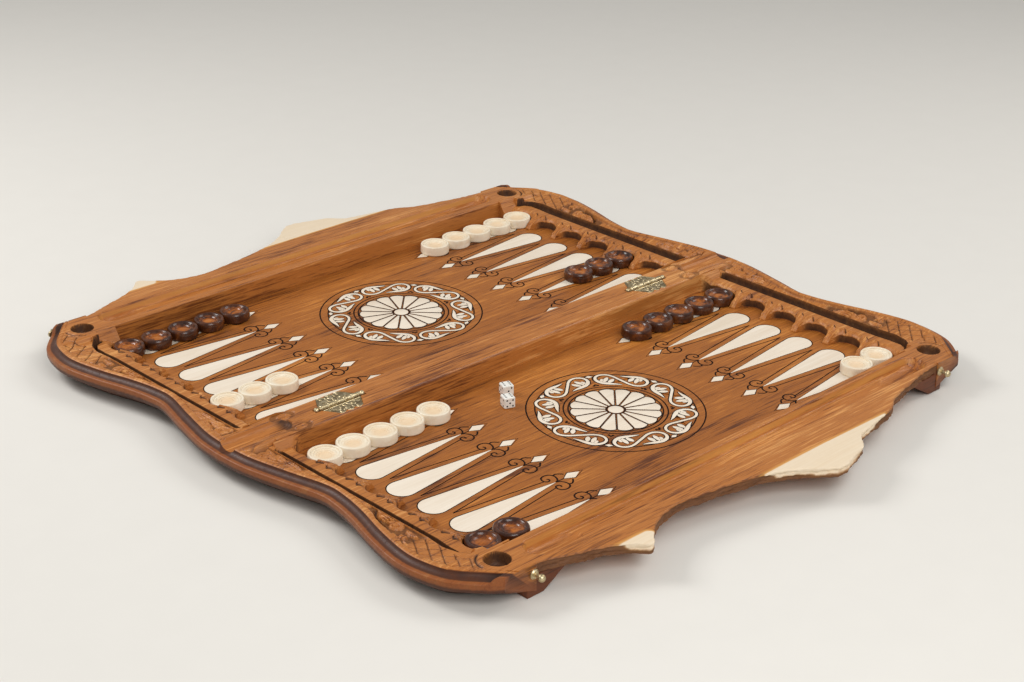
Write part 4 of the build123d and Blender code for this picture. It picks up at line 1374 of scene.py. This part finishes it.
# Dice
diceShape = {
    "size": 10.0, "turn": -20.0, "spacing": 2.6, "pip": 0.88, "flat": 0.16,
    # middle of each die, and the numbers of its front and left faces
    "places": ((-61.9, -70.8, 5, 4), (-47.0, -53.6, 3, 5)),
}
pipSteps = {
    1: ((0, 0),), 2: ((-1, -1), (1, 1)), 3: ((-1, -1), (0, 0), (1, 1)),
    4: ((-1, -1), (-1, 1), (1, -1), (1, 1)), 5: ((-1, -1), (-1, 1), (0, 0), (1, -1), (1, 1)),
    6: ((-1, -1), (-1, 0), (-1, 1), (1, -1), (1, 0), (1, 1)),
}


def makeDie(number, x, y, front, left):
    spec = diceShape
    half = spec["size"] / 2
    name = f"die_{number}"
    dress(frame["nodes"][name], "die")
    # outward direction, the two directions of the pips and the number of each face
    faces = (
        ((0, 0, 1), (1, 0, 0), (0, 1, 0), 6), ((0, 0, -1), (1, 0, 0), (0, -1, 0), 1),
        ((0, -1, 0), (1, 0, 0), (0, 0, 1), front), ((0, 1, 0), (1, 0, 0), (0, 0, -1), 7 - front),
        ((1, 0, 0), (0, 1, 0), (0, 0, 1), 7 - left), ((-1, 0, 0), (0, 1, 0), (0, 0, 1), left),
    )
    pips = []
    for face in faces:
        out, across, up = (Vector(way) for way in face[:3])
        for u, v in pipSteps[face[3]]:
            spot = out * (half - 0.05) + (across * u + up * v) * spec["spacing"]
            bpy.ops.object.select_all(action="DESELECT")
            bpy.ops.mesh.primitive_uv_sphere_add(segments=16, ring_count=8, radius=spec["pip"] * mm)
            pip = bpy.context.object
            turn = out.to_track_quat("Z", "Y").to_matrix().to_4x4() @ Matrix.Diagonal((1, 1, spec["flat"], 1))
            pip.data.transform(Matrix.Translation(spot * mm) @ turn)
            pips.append(pip)
    pick(*pips)
    bpy.ops.object.join()
    pips[0].name = f"diePips{number}"
    place = Matrix.Translation((x * mm, y * mm, (board["field"] + half) * mm))
    pips[0].data.transform(place @ Matrix.Rotation(math.radians(spec["turn"]), 4, "Z"))
    settle(pips[0], "pip", name, degrees=60)


for number, place in enumerate(diceShape["places"], 1):
    makeDie(number, *place)
print("dice marked")


# Floor, lamps and background
studio = {
    "floor": (226, 222, 214),
    "shade": 0.97,
    "world": 0.34,
    # place, size and watts of each lamp
    "lamps": (
        ((-0.8, 1.1, 1.25), 0.7, 16.0), ((1.1, -0.5, 1.3), 0.9, 9.0), ((-0.6, -1.3, 1.1), 0.9, 14.0),
    ),
}


def makeStudio():
    bpy.ops.object.select_all(action="DESELECT")
    bpy.ops.mesh.primitive_plane_add(size=12, location=(0, 0, -0.0002))
    floor = bpy.context.object
    floor.name = "studioFloor"
    material, start, place = newMaterial("studioFloor")
    pale = start.noise(place, 30.0, 3, 0.5)
    tone = tint(studio["floor"])
    colour = pale.blended(tone, [part * studio["shade"] for part in tone[:3]] + [1])
    floor.data.materials.append(finished(material, {"Base Color": colour}, {"Roughness": 0.85}))
    for n, (where, size, watts) in enumerate(studio["lamps"], 1):
        data = bpy.data.lights.new(f"softLamp{n}", "AREA")
        data.energy = watts
        data.size = size
        lamp = bpy.data.objects.new(f"softLamp{n}", data)
        bpy.context.scene.collection.objects.link(lamp)
        lamp.location = where
        lamp.rotation_euler = (-Vector(where)).to_track_quat("-Z", "Y").to_euler()
    world = bpy.context.scene.world or bpy.data.worlds.new("studioAir")
    bpy.context.scene.world = world
    world.use_nodes = True
    back = world.node_tree.nodes["Background"]
    back.inputs[0].default_value = (1, 1, 1, 1)
    back.inputs[1].default_value = studio["world"]
    bpy.context.scene.view_settings.view_transform = "Standard"


makeStudio()
print("studio lit")
